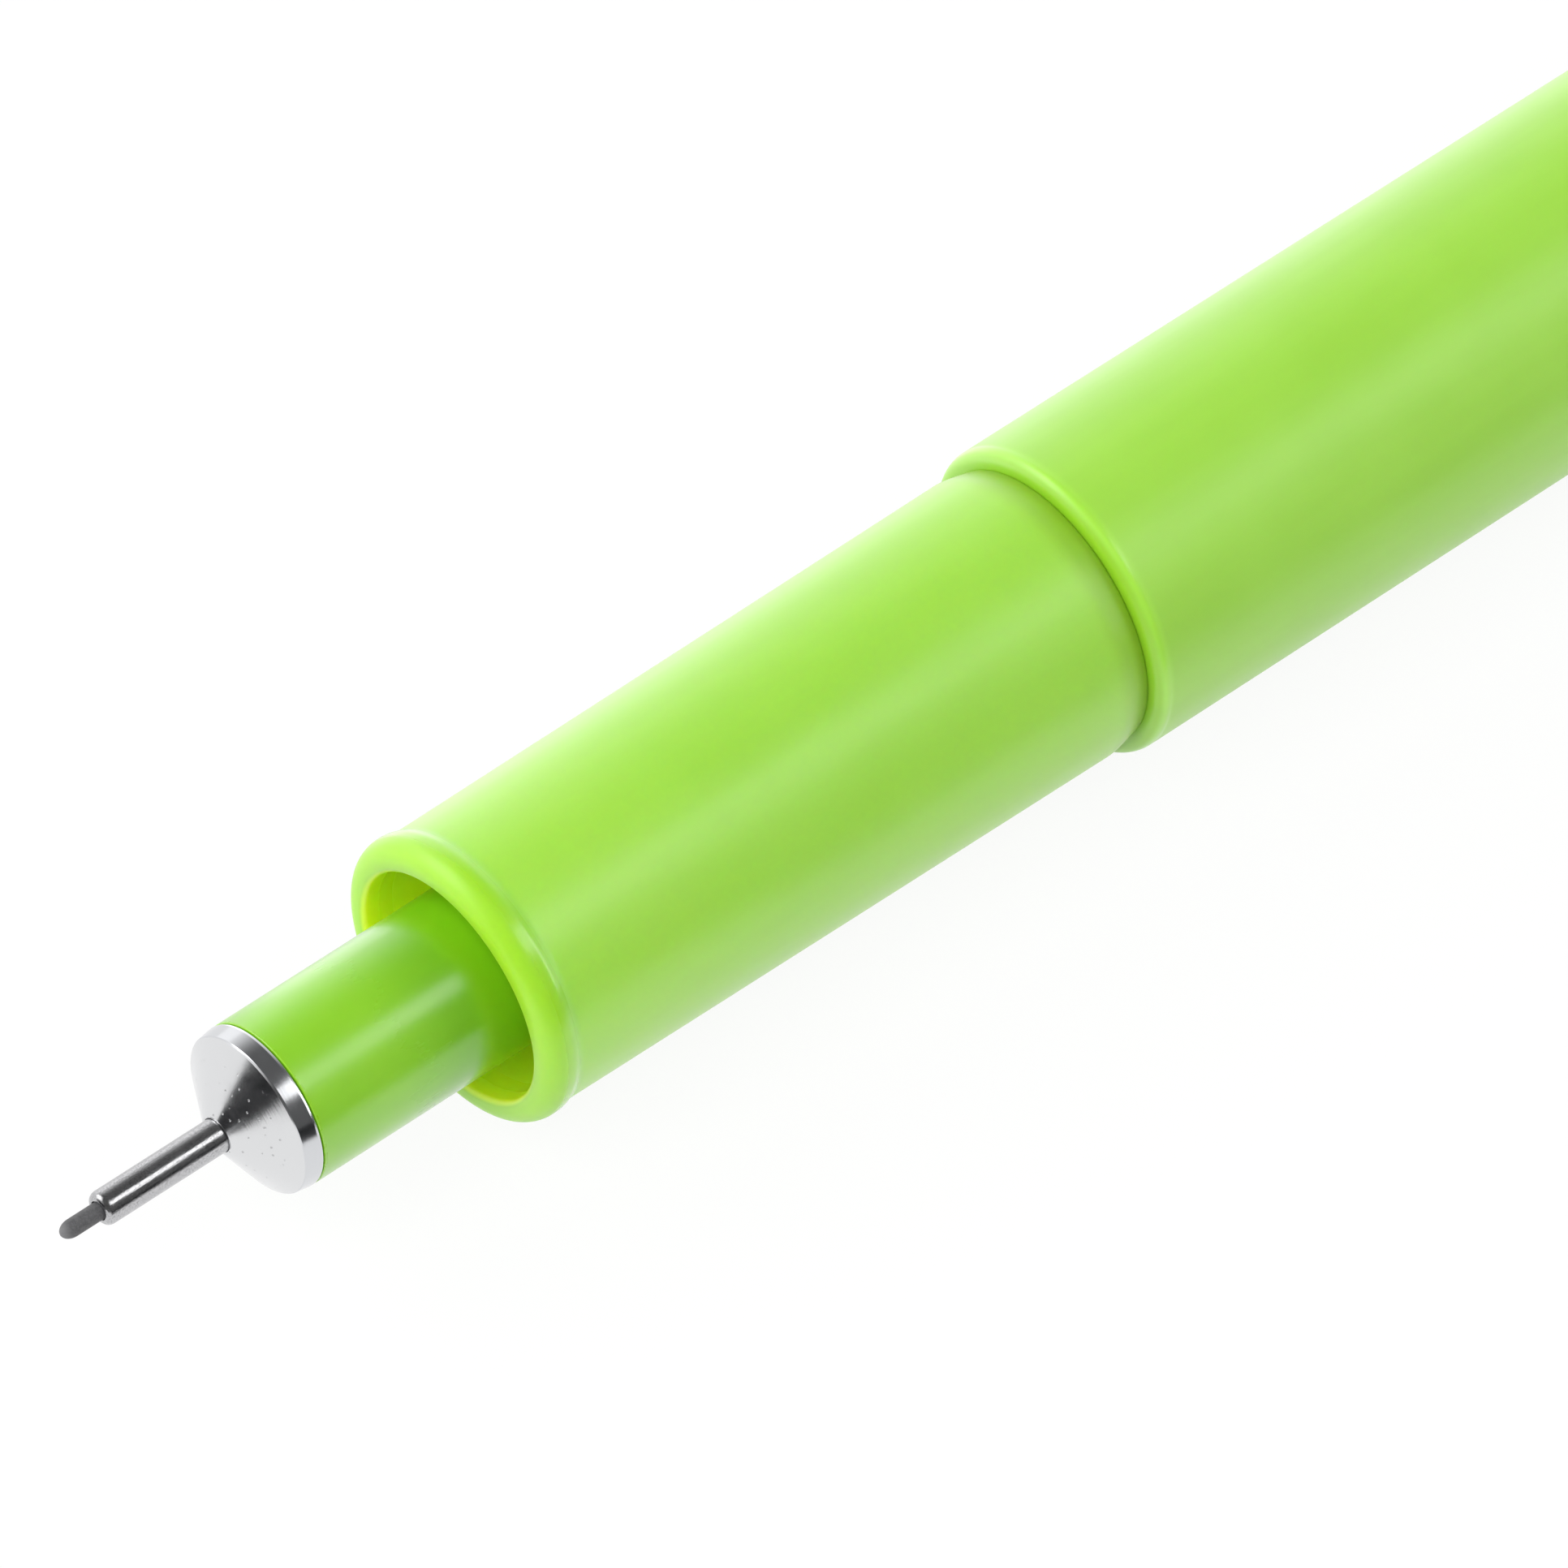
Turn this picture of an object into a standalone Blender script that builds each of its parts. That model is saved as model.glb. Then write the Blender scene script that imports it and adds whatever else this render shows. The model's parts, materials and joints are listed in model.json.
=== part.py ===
"""A fine-point permanent marker with a metal-clad nib, lying on its side with its cap posted on its rear end.

Lengths are in metres. Every turned piece is drawn as a list of (radius, station) points, where a station is a
distance along the axis: from the nib's point towards the rear for the pen's own pieces, and from the cap's
mouth towards its closed end for the cap's. Local Z is that axis. The pen_axis empty lays it along world +X,
with the nib at the -X end.
"""
import math

import bmesh
import bpy
from mathutils import Vector

MM = 0.001

# Writing end, lengths along the axis
NIB_REACH = 1.35 * MM
NIB_ROUND = 0.42 * MM
NEEDLE_REACH = 4.30 * MM
NEEDLE_ROUND = 0.24 * MM
CONE_LENGTH = 1.10 * MM
RIM_LENGTH = 0.63 * MM
RIM_CHAMFER = 0.05 * MM
CONE_PLUG_LENGTH = 4.00 * MM
NEEDLE_TAIL = 4.80 * MM
NOSE_REACH = 6.67 * MM

# Writing end, across the axis
NEEDLE_DIAMETER = 1.07 * MM
NEEDLE_WALL = 0.23 * MM
CONE_FRONT_LAND = 0.07 * MM
RIM_DRAFT = 0.07 * MM
NOSE_DIAMETER = 5.24 * MM
NOSE_WALL = 0.60 * MM
NOSE_CHAMFER = 0.05 * MM

# Grip section and the recess that the cap's inner seal enters
GRIP_LENGTH = 22.50 * MM
RECESS_GAP = 1.10 * MM
RECESS_DRAFT = 0.06 * MM
RECESS_DEPTH = 6.50 * MM
WEB_THICKNESS = 1.50 * MM
LIP_WIDTH = 0.89 * MM
LIP_CHAMFER_WIDTH = 0.15 * MM
LIP_CHAMFER_LENGTH = 0.40 * MM
LIP_FLAT = 0.15 * MM
LIP_NOSE_LENGTH = 0.60 * MM
BEAD_HEIGHT = 0.12 * MM
BEAD_RUNOUT = 0.45 * MM
SPIGOT_LENGTH = 9.50 * MM
SPIGOT_WALL = 0.75 * MM
SPIGOT_CHAMFER = 0.30 * MM
SHOULDER_STEP = 0.365 * MM

# Inside the nose
COLLAR_STEP = 0.63 * MM
COLLAR_LENGTH = 2.00 * MM
NOSE_TAIL = 5.00 * MM
SLEEVE_LENGTH = 8.00 * MM
NIB_SEAT = 4.00 * MM
VENT_COUNT = 4
VENT_WIDTH = 0.50 * MM
VENT_DEPTH = 0.35 * MM
WICK_DIAMETER = 1.80 * MM
WICK_BITE = 5.00 * MM

# Barrel, ink reservoir and end plug
BARREL_LENGTH = 83.50 * MM
BARREL_WALL = 0.90 * MM
BARREL_FRONT_ROUND = 0.38 * MM
BARREL_REAR_ROUND = 0.25 * MM
WRAP_THICKNESS = 0.10 * MM
PLUG_LENGTH = 12.00 * MM
SOCKET_DEPTH = 4.00 * MM
PLUG_WALL = 1.55 * MM
PLUG_END_WALL = 2.00 * MM
POST_ROUND = 0.60 * MM

# Cap
CAP_WALL = 0.65 * MM
CAP_TAPER = 0.20 * MM
CAP_MOUTH_ROUND = 0.20 * MM
SNAP_START = 2.00 * MM
SNAP_LENGTH = 1.20 * MM
LAND_HEIGHT = 0.55 * MM
LAND_LENGTH = 0.95 * MM
NIB_ROOM = 1.75 * MM
SEAL_ENTRY = 5.20 * MM
SEAL_WALL = 0.80 * MM
SEAL_LIP_LENGTH = 0.70 * MM
SEAL_BASE = 1.00 * MM
SEAL_NOTCH_WIDTH = 1.20 * MM
SEAL_NOTCH_DEPTH = 0.60 * MM
POST_ROOM = 5.20 * MM
CROWN_SPIGOT_LENGTH = 3.00 * MM
CROWN_SPIGOT_WALL = 1.00 * MM
CROWN_THICKNESS = 1.60 * MM
CROWN_ROUND = 0.90 * MM
CROWN_VENT_COUNT = 3
CROWN_VENT_DIAMETER = 1.20 * MM
CROWN_VENT_CIRCLE = 4.80 * MM

# Clip
CLIP_WIDTH = 3.60 * MM
CLIP_TAPER = 0.80 * MM
CLIP_THICKNESS = 1.40 * MM
CLIP_GAP = 1.20 * MM
CLIP_LENGTH = 29.00 * MM
CLIP_SETBACK = 2.70 * MM
CLIP_ROOT_FRONT = 2.20 * MM
CLIP_ROOT_REAR = 1.00 * MM
CLIP_FOOT_LENGTH = 1.60 * MM
CLIP_FOOT_DEPTH = 0.65 * MM
CLIP_NUB_RADIUS = 1.05 * MM
CLIP_TIP_OVERHANG = 1.60 * MM
CLIP_EDGE = 0.22 * MM
CLIP_FILLET = 0.60 * MM

# Clearances
PRESS_FIT = 0.05 * MM
FINE_FIT = 0.03 * MM
NEEDLE_FIT = 0.02 * MM
SEAT_GAP = 0.05 * MM
RESERVOIR_FIT = 0.07 * MM
RESERVOIR_GAP = 0.30 * MM
CAP_FIT = 0.115 * MM
POST_FIT = 0.15 * MM
SNAP_FIT = 0.05 * MM
CAP_SEAT = 0.10 * MM
SEAL_FIT = 0.13 * MM
SEAL_LIP_FIT = 0.04 * MM
CLIP_SLOT_FIT = 0.15 * MM
CLIP_SEAT = 0.15 * MM
NUB_FIT = 0.15 * MM

# Facets round the axis
FINE_STEPS = 48
MIDDLE_STEPS = 32
SMALL_STEPS = 24
ROUND_STEPS = 4
MERGE_DISTANCE = 0.001 * MM
SHARP_ANGLE = math.radians(30)

# Radii that follow from the sizes above, from the nib outwards
needle_radius = NEEDLE_DIAMETER / 2
needle_bore = needle_radius - NEEDLE_WALL
nib_radius = needle_bore - FINE_FIT
nose_radius = NOSE_DIAMETER / 2
nose_bore = nose_radius - NOSE_WALL
nose_plug_radius = nose_bore - FINE_FIT
wick_radius = WICK_DIAMETER / 2
collar_radius = nose_radius + COLLAR_STEP
spigot_bore = collar_radius + PRESS_FIT
spigot_radius = spigot_bore + SPIGOT_WALL
barrel_bore = spigot_radius + PRESS_FIT
barrel_radius = barrel_bore + BARREL_WALL
wrap_radius = spigot_bore - RESERVOIR_FIT
reservoir_radius = wrap_radius - WRAP_THICKNESS - FINE_FIT
recess_radius = nose_radius + RECESS_GAP
bead_radius = recess_radius + LIP_WIDTH
grip_front_radius = bead_radius - BEAD_HEIGHT
grip_rear_radius = barrel_radius - SHOULDER_STEP
cap_bore = max(bead_radius, grip_rear_radius) + CAP_FIT
cap_radius = cap_bore + CAP_WALL
cap_end_radius = cap_radius - CAP_TAPER
post_radius = cap_bore - POST_FIT
seal_bore = nose_radius + SEAL_FIT
seal_radius = seal_bore + SEAL_WALL

# Stations of the pen, from the nib's point
needle_front = NIB_REACH
cone_front = needle_front + NEEDLE_REACH
rim_front = cone_front + CONE_LENGTH
rim_rear = rim_front + RIM_LENGTH
cone_plug_rear = rim_rear + CONE_PLUG_LENGTH
needle_rear = cone_front + NEEDLE_TAIL
nose_front = rim_rear + SEAT_GAP
sleeve_front = cone_plug_rear + SEAT_GAP
sleeve_rear = sleeve_front + SLEEVE_LENGTH
nib_rear = sleeve_front + NIB_SEAT
wick_front = nib_rear + SEAT_GAP
lip_front = rim_rear + NOSE_REACH
lip_bead = lip_front + LIP_NOSE_LENGTH
web_front = lip_front + RECESS_DEPTH
web_rear = web_front + WEB_THICKNESS
collar_front = web_rear + SEAT_GAP
collar_rear = collar_front + COLLAR_LENGTH
nose_rear = collar_rear + NOSE_TAIL
reservoir_front = nose_rear + RESERVOIR_GAP
wick_rear = reservoir_front + WICK_BITE
grip_rear = lip_front + GRIP_LENGTH
spigot_rear = grip_rear + SPIGOT_LENGTH
barrel_front = grip_rear + SEAT_GAP
barrel_rear = barrel_front + BARREL_LENGTH
plug_front = barrel_rear - PLUG_LENGTH
socket_floor = plug_front + SOCKET_DEPTH
reservoir_rear = socket_floor - RESERVOIR_GAP

# Stations of the cap, from its mouth: it closes on the grip section's shoulder with room before the nib
seal_base_front = grip_rear - CAP_SEAT + NIB_ROOM
seal_mouth = GRIP_LENGTH - CAP_SEAT - SEAL_ENTRY
seal_base_rear = seal_base_front + SEAL_BASE
land_rear = seal_base_front - SEAT_GAP
crown_front = seal_base_rear + SEAT_GAP
shell_rear = crown_front + CROWN_SPIGOT_LENGTH
crown_head = shell_rear + SEAT_GAP
crown_rear = crown_head + CROWN_THICKNESS
clip_hinge_station = land_rear - CLIP_SETBACK

# The posted cap on the pen
cap_mouth = barrel_rear + CAP_SEAT
post_rear = cap_mouth + seal_mouth - POST_ROOM
overall_length = cap_mouth + crown_rear

# The clip, by radius from the cap's axis
clip_under = cap_radius + CLIP_GAP
clip_outer = clip_under + CLIP_THICKNESS


def shell_radius_at(station):
    """Outer radius of the slightly tapered cap shell."""
    return cap_radius - CAP_TAPER * station / shell_rear


clip_seat = shell_radius_at(clip_hinge_station) + CLIP_SEAT
clip_hinge_radius = (cap_bore + shell_radius_at(clip_hinge_station)) / 2
clip_foot_end = cap_bore - CLIP_FOOT_DEPTH

# The pen rests on its cap and on the clip's lower corner, as a marker does when it stops rolling
clip_corner = math.hypot(clip_outer, CLIP_WIDTH / 2)
clip_corner_angle = math.atan2(CLIP_WIDTH / 2, clip_outer)
clip_dip = math.asin(cap_radius / clip_corner) - clip_corner_angle
clip_reach = clip_outer * math.cos(clip_dip) + CLIP_WIDTH / 2 * math.sin(clip_dip)
axis_side = (clip_reach - cap_radius) / 2


def clear_scene():
    """Empties the file of what a new one starts with."""
    for item in list(bpy.data.objects):
        bpy.data.objects.remove(item, do_unlink=True)
    for group in list(bpy.data.collections):
        bpy.data.collections.remove(group)


def make_collection(name):
    """Makes a collection in the scene."""
    group = bpy.data.collections.new(name)
    bpy.context.scene.collection.children.link(group)
    return group


def make_material(name, colour, roughness, metallic=0.0):
    """Makes a Principled material of one colour."""
    material = bpy.data.materials.new(name)
    material.use_nodes = True
    shader = material.node_tree.nodes["Principled BSDF"]
    shader.inputs["Base Color"].default_value = (*colour, 1.0)
    shader.inputs["Roughness"].default_value = roughness
    shader.inputs["Metallic"].default_value = metallic
    material.diffuse_color = (*colour, 1.0)
    return material


def make_empty(name, parent=None, location=(0, 0, 0), rotation=(0, 0, 0)):
    """Makes an empty that carries pieces."""
    empty = bpy.data.objects.new(name, None)
    empty.empty_display_size = 4 * MM
    empty.location = location
    empty.rotation_euler = rotation
    empty.parent = parent
    parts.objects.link(empty)
    return empty


def arc(centre, size, start, end, steps=ROUND_STEPS):
    """Points (radius, station) on an ellipse: at 0 degrees away from the axis, at 90 degrees to the rear."""
    points = []
    for step in range(steps + 1):
        angle = math.radians(start + (end - start) * step / steps)
        points.append((centre[0] + size[0] * math.cos(angle), centre[1] + size[1] * math.sin(angle)))
    return points


def apply_modifiers(piece):
    """Turns a piece's modifiers into mesh, and shades it smooth between its sharp edges."""
    bpy.context.view_layer.update()
    evaluated = piece.evaluated_get(bpy.context.evaluated_depsgraph_get())
    mesh = bpy.data.meshes.new_from_object(evaluated)
    draft = piece.data
    piece.modifiers.clear()
    piece.data = mesh
    mesh.name = piece.name
    bpy.data.meshes.remove(draft)
    mesh.shade_smooth()
    mesh.set_sharp_from_angle(angle=SHARP_ANGLE)


def turned(name, outline, colour, parent, steps=FINE_STEPS, ring=True):
    """A turned piece. The outline runs down its outer side from the rear and back up its bore.

    A ring's outline closes on itself. Any other starts and ends on the axis.
    """
    mesh = bpy.data.meshes.new(name)
    points = [(radius, 0.0, station) for radius, station in outline]
    edges = [(index, index + 1) for index in range(len(points) - 1)]
    if ring:
        edges.append((len(points) - 1, 0))
    mesh.from_pydata(points, edges, [])
    piece = bpy.data.objects.new(name, mesh)
    parts.objects.link(piece)
    screw = piece.modifiers.new("turn", "SCREW")
    screw.axis = "Z"
    screw.angle = math.tau
    screw.steps = steps
    screw.render_steps = steps
    screw.use_merge_vertices = True
    screw.merge_threshold = MERGE_DISTANCE
    apply_modifiers(piece)
    piece.data.materials.append(colour)
    piece.parent = parent
    return piece


def cut(piece, cutter):
    """Cuts a piece with a hidden cutter that sits in the same parent."""
    cutter.parent = piece.parent
    cutter.hide_render = True
    cutter.display_type = "WIRE"
    boolean = piece.modifiers.new("cut", "BOOLEAN")
    boolean.operation = "DIFFERENCE"
    boolean.solver = "EXACT"
    boolean.object = cutter


def box_cutter(name, size, centre, angle=0.0):
    """A box with sides along its own axes, turned about the pen's axis."""
    shape = bmesh.new()
    bmesh.ops.create_cube(shape, size=1.0)
    bmesh.ops.scale(shape, vec=Vector(size), verts=shape.verts)
    bmesh.ops.translate(shape, vec=Vector(centre), verts=shape.verts)
    mesh = bpy.data.meshes.new(name)
    shape.to_mesh(mesh)
    shape.free()
    cutter = bpy.data.objects.new(name, mesh)
    cutter.rotation_euler = (0, 0, angle)
    cutters.objects.link(cutter)
    return cutter


def pin_cutter(name, radius, length, centre, angle=0.0):
    """A round cutter along the pen's axis, turned about that axis."""
    shape = bmesh.new()
    bmesh.ops.create_cone(
        shape, cap_ends=True, segments=16, radius1=radius, radius2=radius, depth=length
    )
    bmesh.ops.translate(shape, vec=Vector(centre), verts=shape.verts)
    mesh = bpy.data.meshes.new(name)
    shape.to_mesh(mesh)
    shape.free()
    cutter = bpy.data.objects.new(name, mesh)
    cutter.rotation_euler = (0, 0, angle)
    cutters.objects.link(cutter)
    return cutter


def make_nib():
    """The dark plastic writing point, a rod with a bullet end."""
    outline = [(0, nib_rear), (nib_radius, nib_rear)]
    outline += arc((0, NIB_ROUND), (nib_radius, NIB_ROUND), 0, -90)
    turned("nib", outline, nib_black, pen_axis, SMALL_STEPS, ring=False)


def make_needle_tube():
    """The steel tube round the nib, with its front edge rolled in."""
    outline = [(needle_bore, needle_rear), (needle_radius, needle_rear)]
    rolled = needle_radius - NEEDLE_WALL * 0.75
    outline += arc(
        (rolled, needle_front + NEEDLE_ROUND), (needle_radius - rolled, NEEDLE_ROUND), 0, -90
    )
    outline += [(needle_bore, needle_front)]
    turned("needle_tube", outline, steel, pen_axis, SMALL_STEPS)


def make_tip_cone():
    """The bright metal cone that carries the needle, with its rim and the plug that enters the nose."""
    bore = needle_radius + NEEDLE_FIT
    rim_front_radius = nose_radius - RIM_DRAFT
    outline = [
        (bore, cone_plug_rear),
        (nose_plug_radius, cone_plug_rear),
        (nose_plug_radius, rim_rear),
        (nose_radius - RIM_CHAMFER, rim_rear),
        (nose_radius, rim_rear - RIM_CHAMFER),
        (rim_front_radius, rim_front + RIM_CHAMFER),
        (rim_front_radius - RIM_CHAMFER, rim_front),
        (bore + CONE_FRONT_LAND, cone_front),
        (bore, cone_front),
    ]
    turned("tip_cone", outline, steel, pen_axis)


def make_nib_sleeve():
    """The plastic bush that centres the nib's tail and the wick, with air channels down its outside."""
    nib_hole = nib_radius + FINE_FIT
    wick_hole = wick_radius + FINE_FIT
    outline = [
        (wick_hole, sleeve_rear),
        (nose_plug_radius, sleeve_rear),
        (nose_plug_radius, sleeve_front),
        (nib_hole, sleeve_front),
        (nib_hole, nib_rear),
        (wick_hole, nib_rear),
    ]
    sleeve = turned("nib_sleeve", outline, natural_plastic, pen_axis, MIDDLE_STEPS)
    middle = (sleeve_front + sleeve_rear) / 2
    for index in range(VENT_COUNT):
        cutter = box_cutter(
            f"sleeve_vent_{index + 1}",
            (2 * VENT_DEPTH, VENT_WIDTH, 2 * SLEEVE_LENGTH),
            (nose_plug_radius, 0, middle),
            math.tau * (index + 0.5) / VENT_COUNT,
        )
        cut(sleeve, cutter)


def make_nose_tube():
    """The glossy tube that shows in front of the grip section, with the collar that holds it in."""
    outline = [
        (nose_bore, nose_rear),
        (nose_radius, nose_rear),
        (nose_radius, collar_rear),
        (collar_radius, collar_rear),
        (collar_radius, collar_front),
        (nose_radius, collar_front),
        (nose_radius, nose_front + NOSE_CHAMFER),
        (nose_radius - NOSE_CHAMFER, nose_front),
        (nose_bore, nose_front),
    ]
    turned("nose_tube", outline, lime_gloss, pen_axis)


def make_grip_section():
    """The outer sleeve of the writing end: beaded lip, recess, web, bore and the spigot for the barrel."""
    lip_edge = recess_radius + LIP_CHAMFER_WIDTH
    lip_round = lip_edge + LIP_FLAT
    web_hole = nose_radius + PRESS_FIT
    outline = [
        (spigot_bore, spigot_rear),
        (spigot_radius - SPIGOT_CHAMFER, spigot_rear),
        (spigot_radius, spigot_rear - SPIGOT_CHAMFER),
        (spigot_radius, grip_rear),
        (grip_rear_radius, grip_rear),
    ]
    outline += arc((grip_front_radius, lip_bead), (BEAD_HEIGHT, BEAD_RUNOUT), 90, 0)
    outline += arc((lip_round, lip_bead), (bead_radius - lip_round, LIP_NOSE_LENGTH), 0, -90)[1:]
    outline += [
        (lip_edge, lip_front),
        (recess_radius, lip_front + LIP_CHAMFER_LENGTH),
        (recess_radius - RECESS_DRAFT, web_front),
        (web_hole, web_front),
        (web_hole, web_rear),
        (spigot_bore, web_rear),
    ]
    turned("grip_section", outline, lime_body, pen_axis)


def make_feed_wick():
    """The fibre rod that draws ink from the reservoir to the nib."""
    outline = [(0, wick_rear), (wick_radius, wick_rear), (wick_radius, wick_front), (0, wick_front)]
    turned("feed_wick", outline, white_fibre, pen_axis, SMALL_STEPS, ring=False)


def make_ink_reservoir():
    """The fibre filler that holds the ink, with the hole that the wick is pushed into."""
    wick_hole = wick_radius + FINE_FIT
    hole_end = wick_rear + SEAT_GAP
    outline = [
        (0, reservoir_rear),
        (reservoir_radius, reservoir_rear),
        (reservoir_radius, reservoir_front),
        (wick_hole, reservoir_front),
        (wick_hole, hole_end),
        (0, hole_end),
    ]
    turned("ink_reservoir", outline, ink_fibre, pen_axis, MIDDLE_STEPS, ring=False)


def make_reservoir_wrap():
    """The thin film round the filler."""
    bore = wrap_radius - WRAP_THICKNESS
    outline = [
        (bore, reservoir_rear),
        (wrap_radius, reservoir_rear),
        (wrap_radius, reservoir_front),
        (bore, reservoir_front),
    ]
    turned("reservoir_wrap", outline, clear_film, pen_axis, MIDDLE_STEPS)


def make_barrel_tube():
    """The barrel, with the rounded front rim that stands proud of the grip section."""
    outline = [(barrel_bore, barrel_rear)]
    outline += arc(
        (barrel_radius - BARREL_REAR_ROUND, barrel_rear - BARREL_REAR_ROUND),
        (BARREL_REAR_ROUND, BARREL_REAR_ROUND),
        90,
        0,
    )
    outline += arc(
        (barrel_radius - BARREL_FRONT_ROUND, barrel_front + BARREL_FRONT_ROUND),
        (BARREL_FRONT_ROUND, BARREL_FRONT_ROUND),
        0,
        -90,
    )
    outline += [(barrel_bore, barrel_front)]
    turned("barrel_tube", outline, lime_body, pen_axis)


def make_end_plug():
    """The plug that closes the barrel: its rear is the post for the cap, its socket holds the reservoir."""
    hollow = post_radius - PLUG_WALL - PRESS_FIT
    outline = [(0, post_rear)]
    outline += arc((post_radius - POST_ROUND, post_rear - POST_ROUND), (POST_ROUND, POST_ROUND), 90, 0)
    outline += [
        (post_radius, barrel_rear + SEAT_GAP),
        (spigot_radius, barrel_rear + SEAT_GAP),
        (spigot_radius, plug_front + SPIGOT_CHAMFER),
        (spigot_radius - SPIGOT_CHAMFER, plug_front),
        (spigot_bore, plug_front),
        (spigot_bore, socket_floor),
        (hollow, socket_floor),
        (hollow, post_rear - PLUG_END_WALL),
        (0, post_rear - PLUG_END_WALL),
    ]
    turned("end_plug", outline, lime_body, pen_axis, ring=False)


def make_cap_shell():
    """The cap's outer shell, with a snap ring inside its mouth and a land that the inner seal sits on."""
    snap_radius = post_radius + SNAP_FIT
    land_radius = cap_bore - LAND_HEIGHT
    land_front = land_rear - LAND_LENGTH
    outline = [(cap_bore, shell_rear), (cap_end_radius, shell_rear)]
    outline += arc(
        (cap_radius - CAP_MOUTH_ROUND, CAP_MOUTH_ROUND), (CAP_MOUTH_ROUND, CAP_MOUTH_ROUND), 0, -90
    )
    outline += [
        (cap_bore, 0),
        (cap_bore, SNAP_START),
        (snap_radius, SNAP_START + SNAP_LENGTH / 3),
        (snap_radius, SNAP_START + SNAP_LENGTH * 2 / 3),
        (cap_bore, SNAP_START + SNAP_LENGTH),
        (cap_bore, land_front),
        (land_radius, land_front),
        (land_radius, land_rear),
        (cap_bore, land_rear),
    ]
    shell = turned("cap_shell", outline, lime_body, cap_axis)
    slot = box_cutter(
        "clip_slot",
        (
            2 * CAP_WALL + 2 * CLIP_FOOT_DEPTH,
            CLIP_WIDTH + 2 * CLIP_SLOT_FIT,
            CLIP_FOOT_LENGTH + 2 * CLIP_SLOT_FIT,
        ),
        (cap_bore + CAP_WALL / 2, 0, clip_hinge_station),
    )
    cut(shell, slot)


def make_cap_inner_seal():
    """The inner cup that closes round the nose tube, with air notches in its base flange."""
    lip_radius = nose_radius + SEAL_LIP_FIT
    flange_radius = cap_bore - PRESS_FIT
    lip_chamfer = SEAL_WALL / 4
    outline = [
        (0, seal_base_rear),
        (flange_radius, seal_base_rear),
        (flange_radius, seal_base_front),
        (seal_radius, seal_base_front),
        (seal_radius, seal_mouth + lip_chamfer),
        (seal_radius - lip_chamfer, seal_mouth),
        (seal_bore + lip_chamfer, seal_mouth),
        (lip_radius, seal_mouth + SEAL_LIP_LENGTH),
        (seal_bore, seal_mouth + 2 * SEAL_LIP_LENGTH),
        (seal_bore, seal_base_front),
        (0, seal_base_front),
    ]
    seal = turned("cap_inner_seal", outline, natural_plastic, cap_axis, ring=False)
    for index in range(VENT_COUNT):
        cutter = box_cutter(
            f"seal_notch_{index + 1}",
            (2 * SEAL_NOTCH_DEPTH, SEAL_NOTCH_WIDTH, 2 * SEAL_BASE),
            (flange_radius, 0, (seal_base_front + seal_base_rear) / 2),
            math.tau * (index + 0.5) / VENT_COUNT,
        )
        cut(seal, cutter)


def make_cap_crown():
    """The plug that closes the cap's end, with air holes through it."""
    spigot = cap_bore - PRESS_FIT
    spigot_inner = spigot - CROWN_SPIGOT_WALL
    outline = [(0, crown_rear)]
    outline += arc(
        (cap_end_radius - CROWN_ROUND, crown_rear - CROWN_ROUND), (CROWN_ROUND, CROWN_ROUND), 90, 0
    )
    outline += [
        (cap_end_radius, crown_head),
        (spigot, crown_head),
        (spigot, crown_front),
        (spigot_inner, crown_front),
        (spigot_inner, crown_head),
        (0, crown_head),
    ]
    crown = turned("cap_crown", outline, lime_body, cap_axis, ring=False)
    for index in range(CROWN_VENT_COUNT):
        cutter = pin_cutter(
            f"crown_vent_{index + 1}",
            CROWN_VENT_DIAMETER / 2,
            4 * CROWN_THICKNESS,
            (CROWN_VENT_CIRCLE / 2, 0, crown_rear),
            math.tau * index / CROWN_VENT_COUNT,
        )
        cut(crown, cutter)


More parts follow.
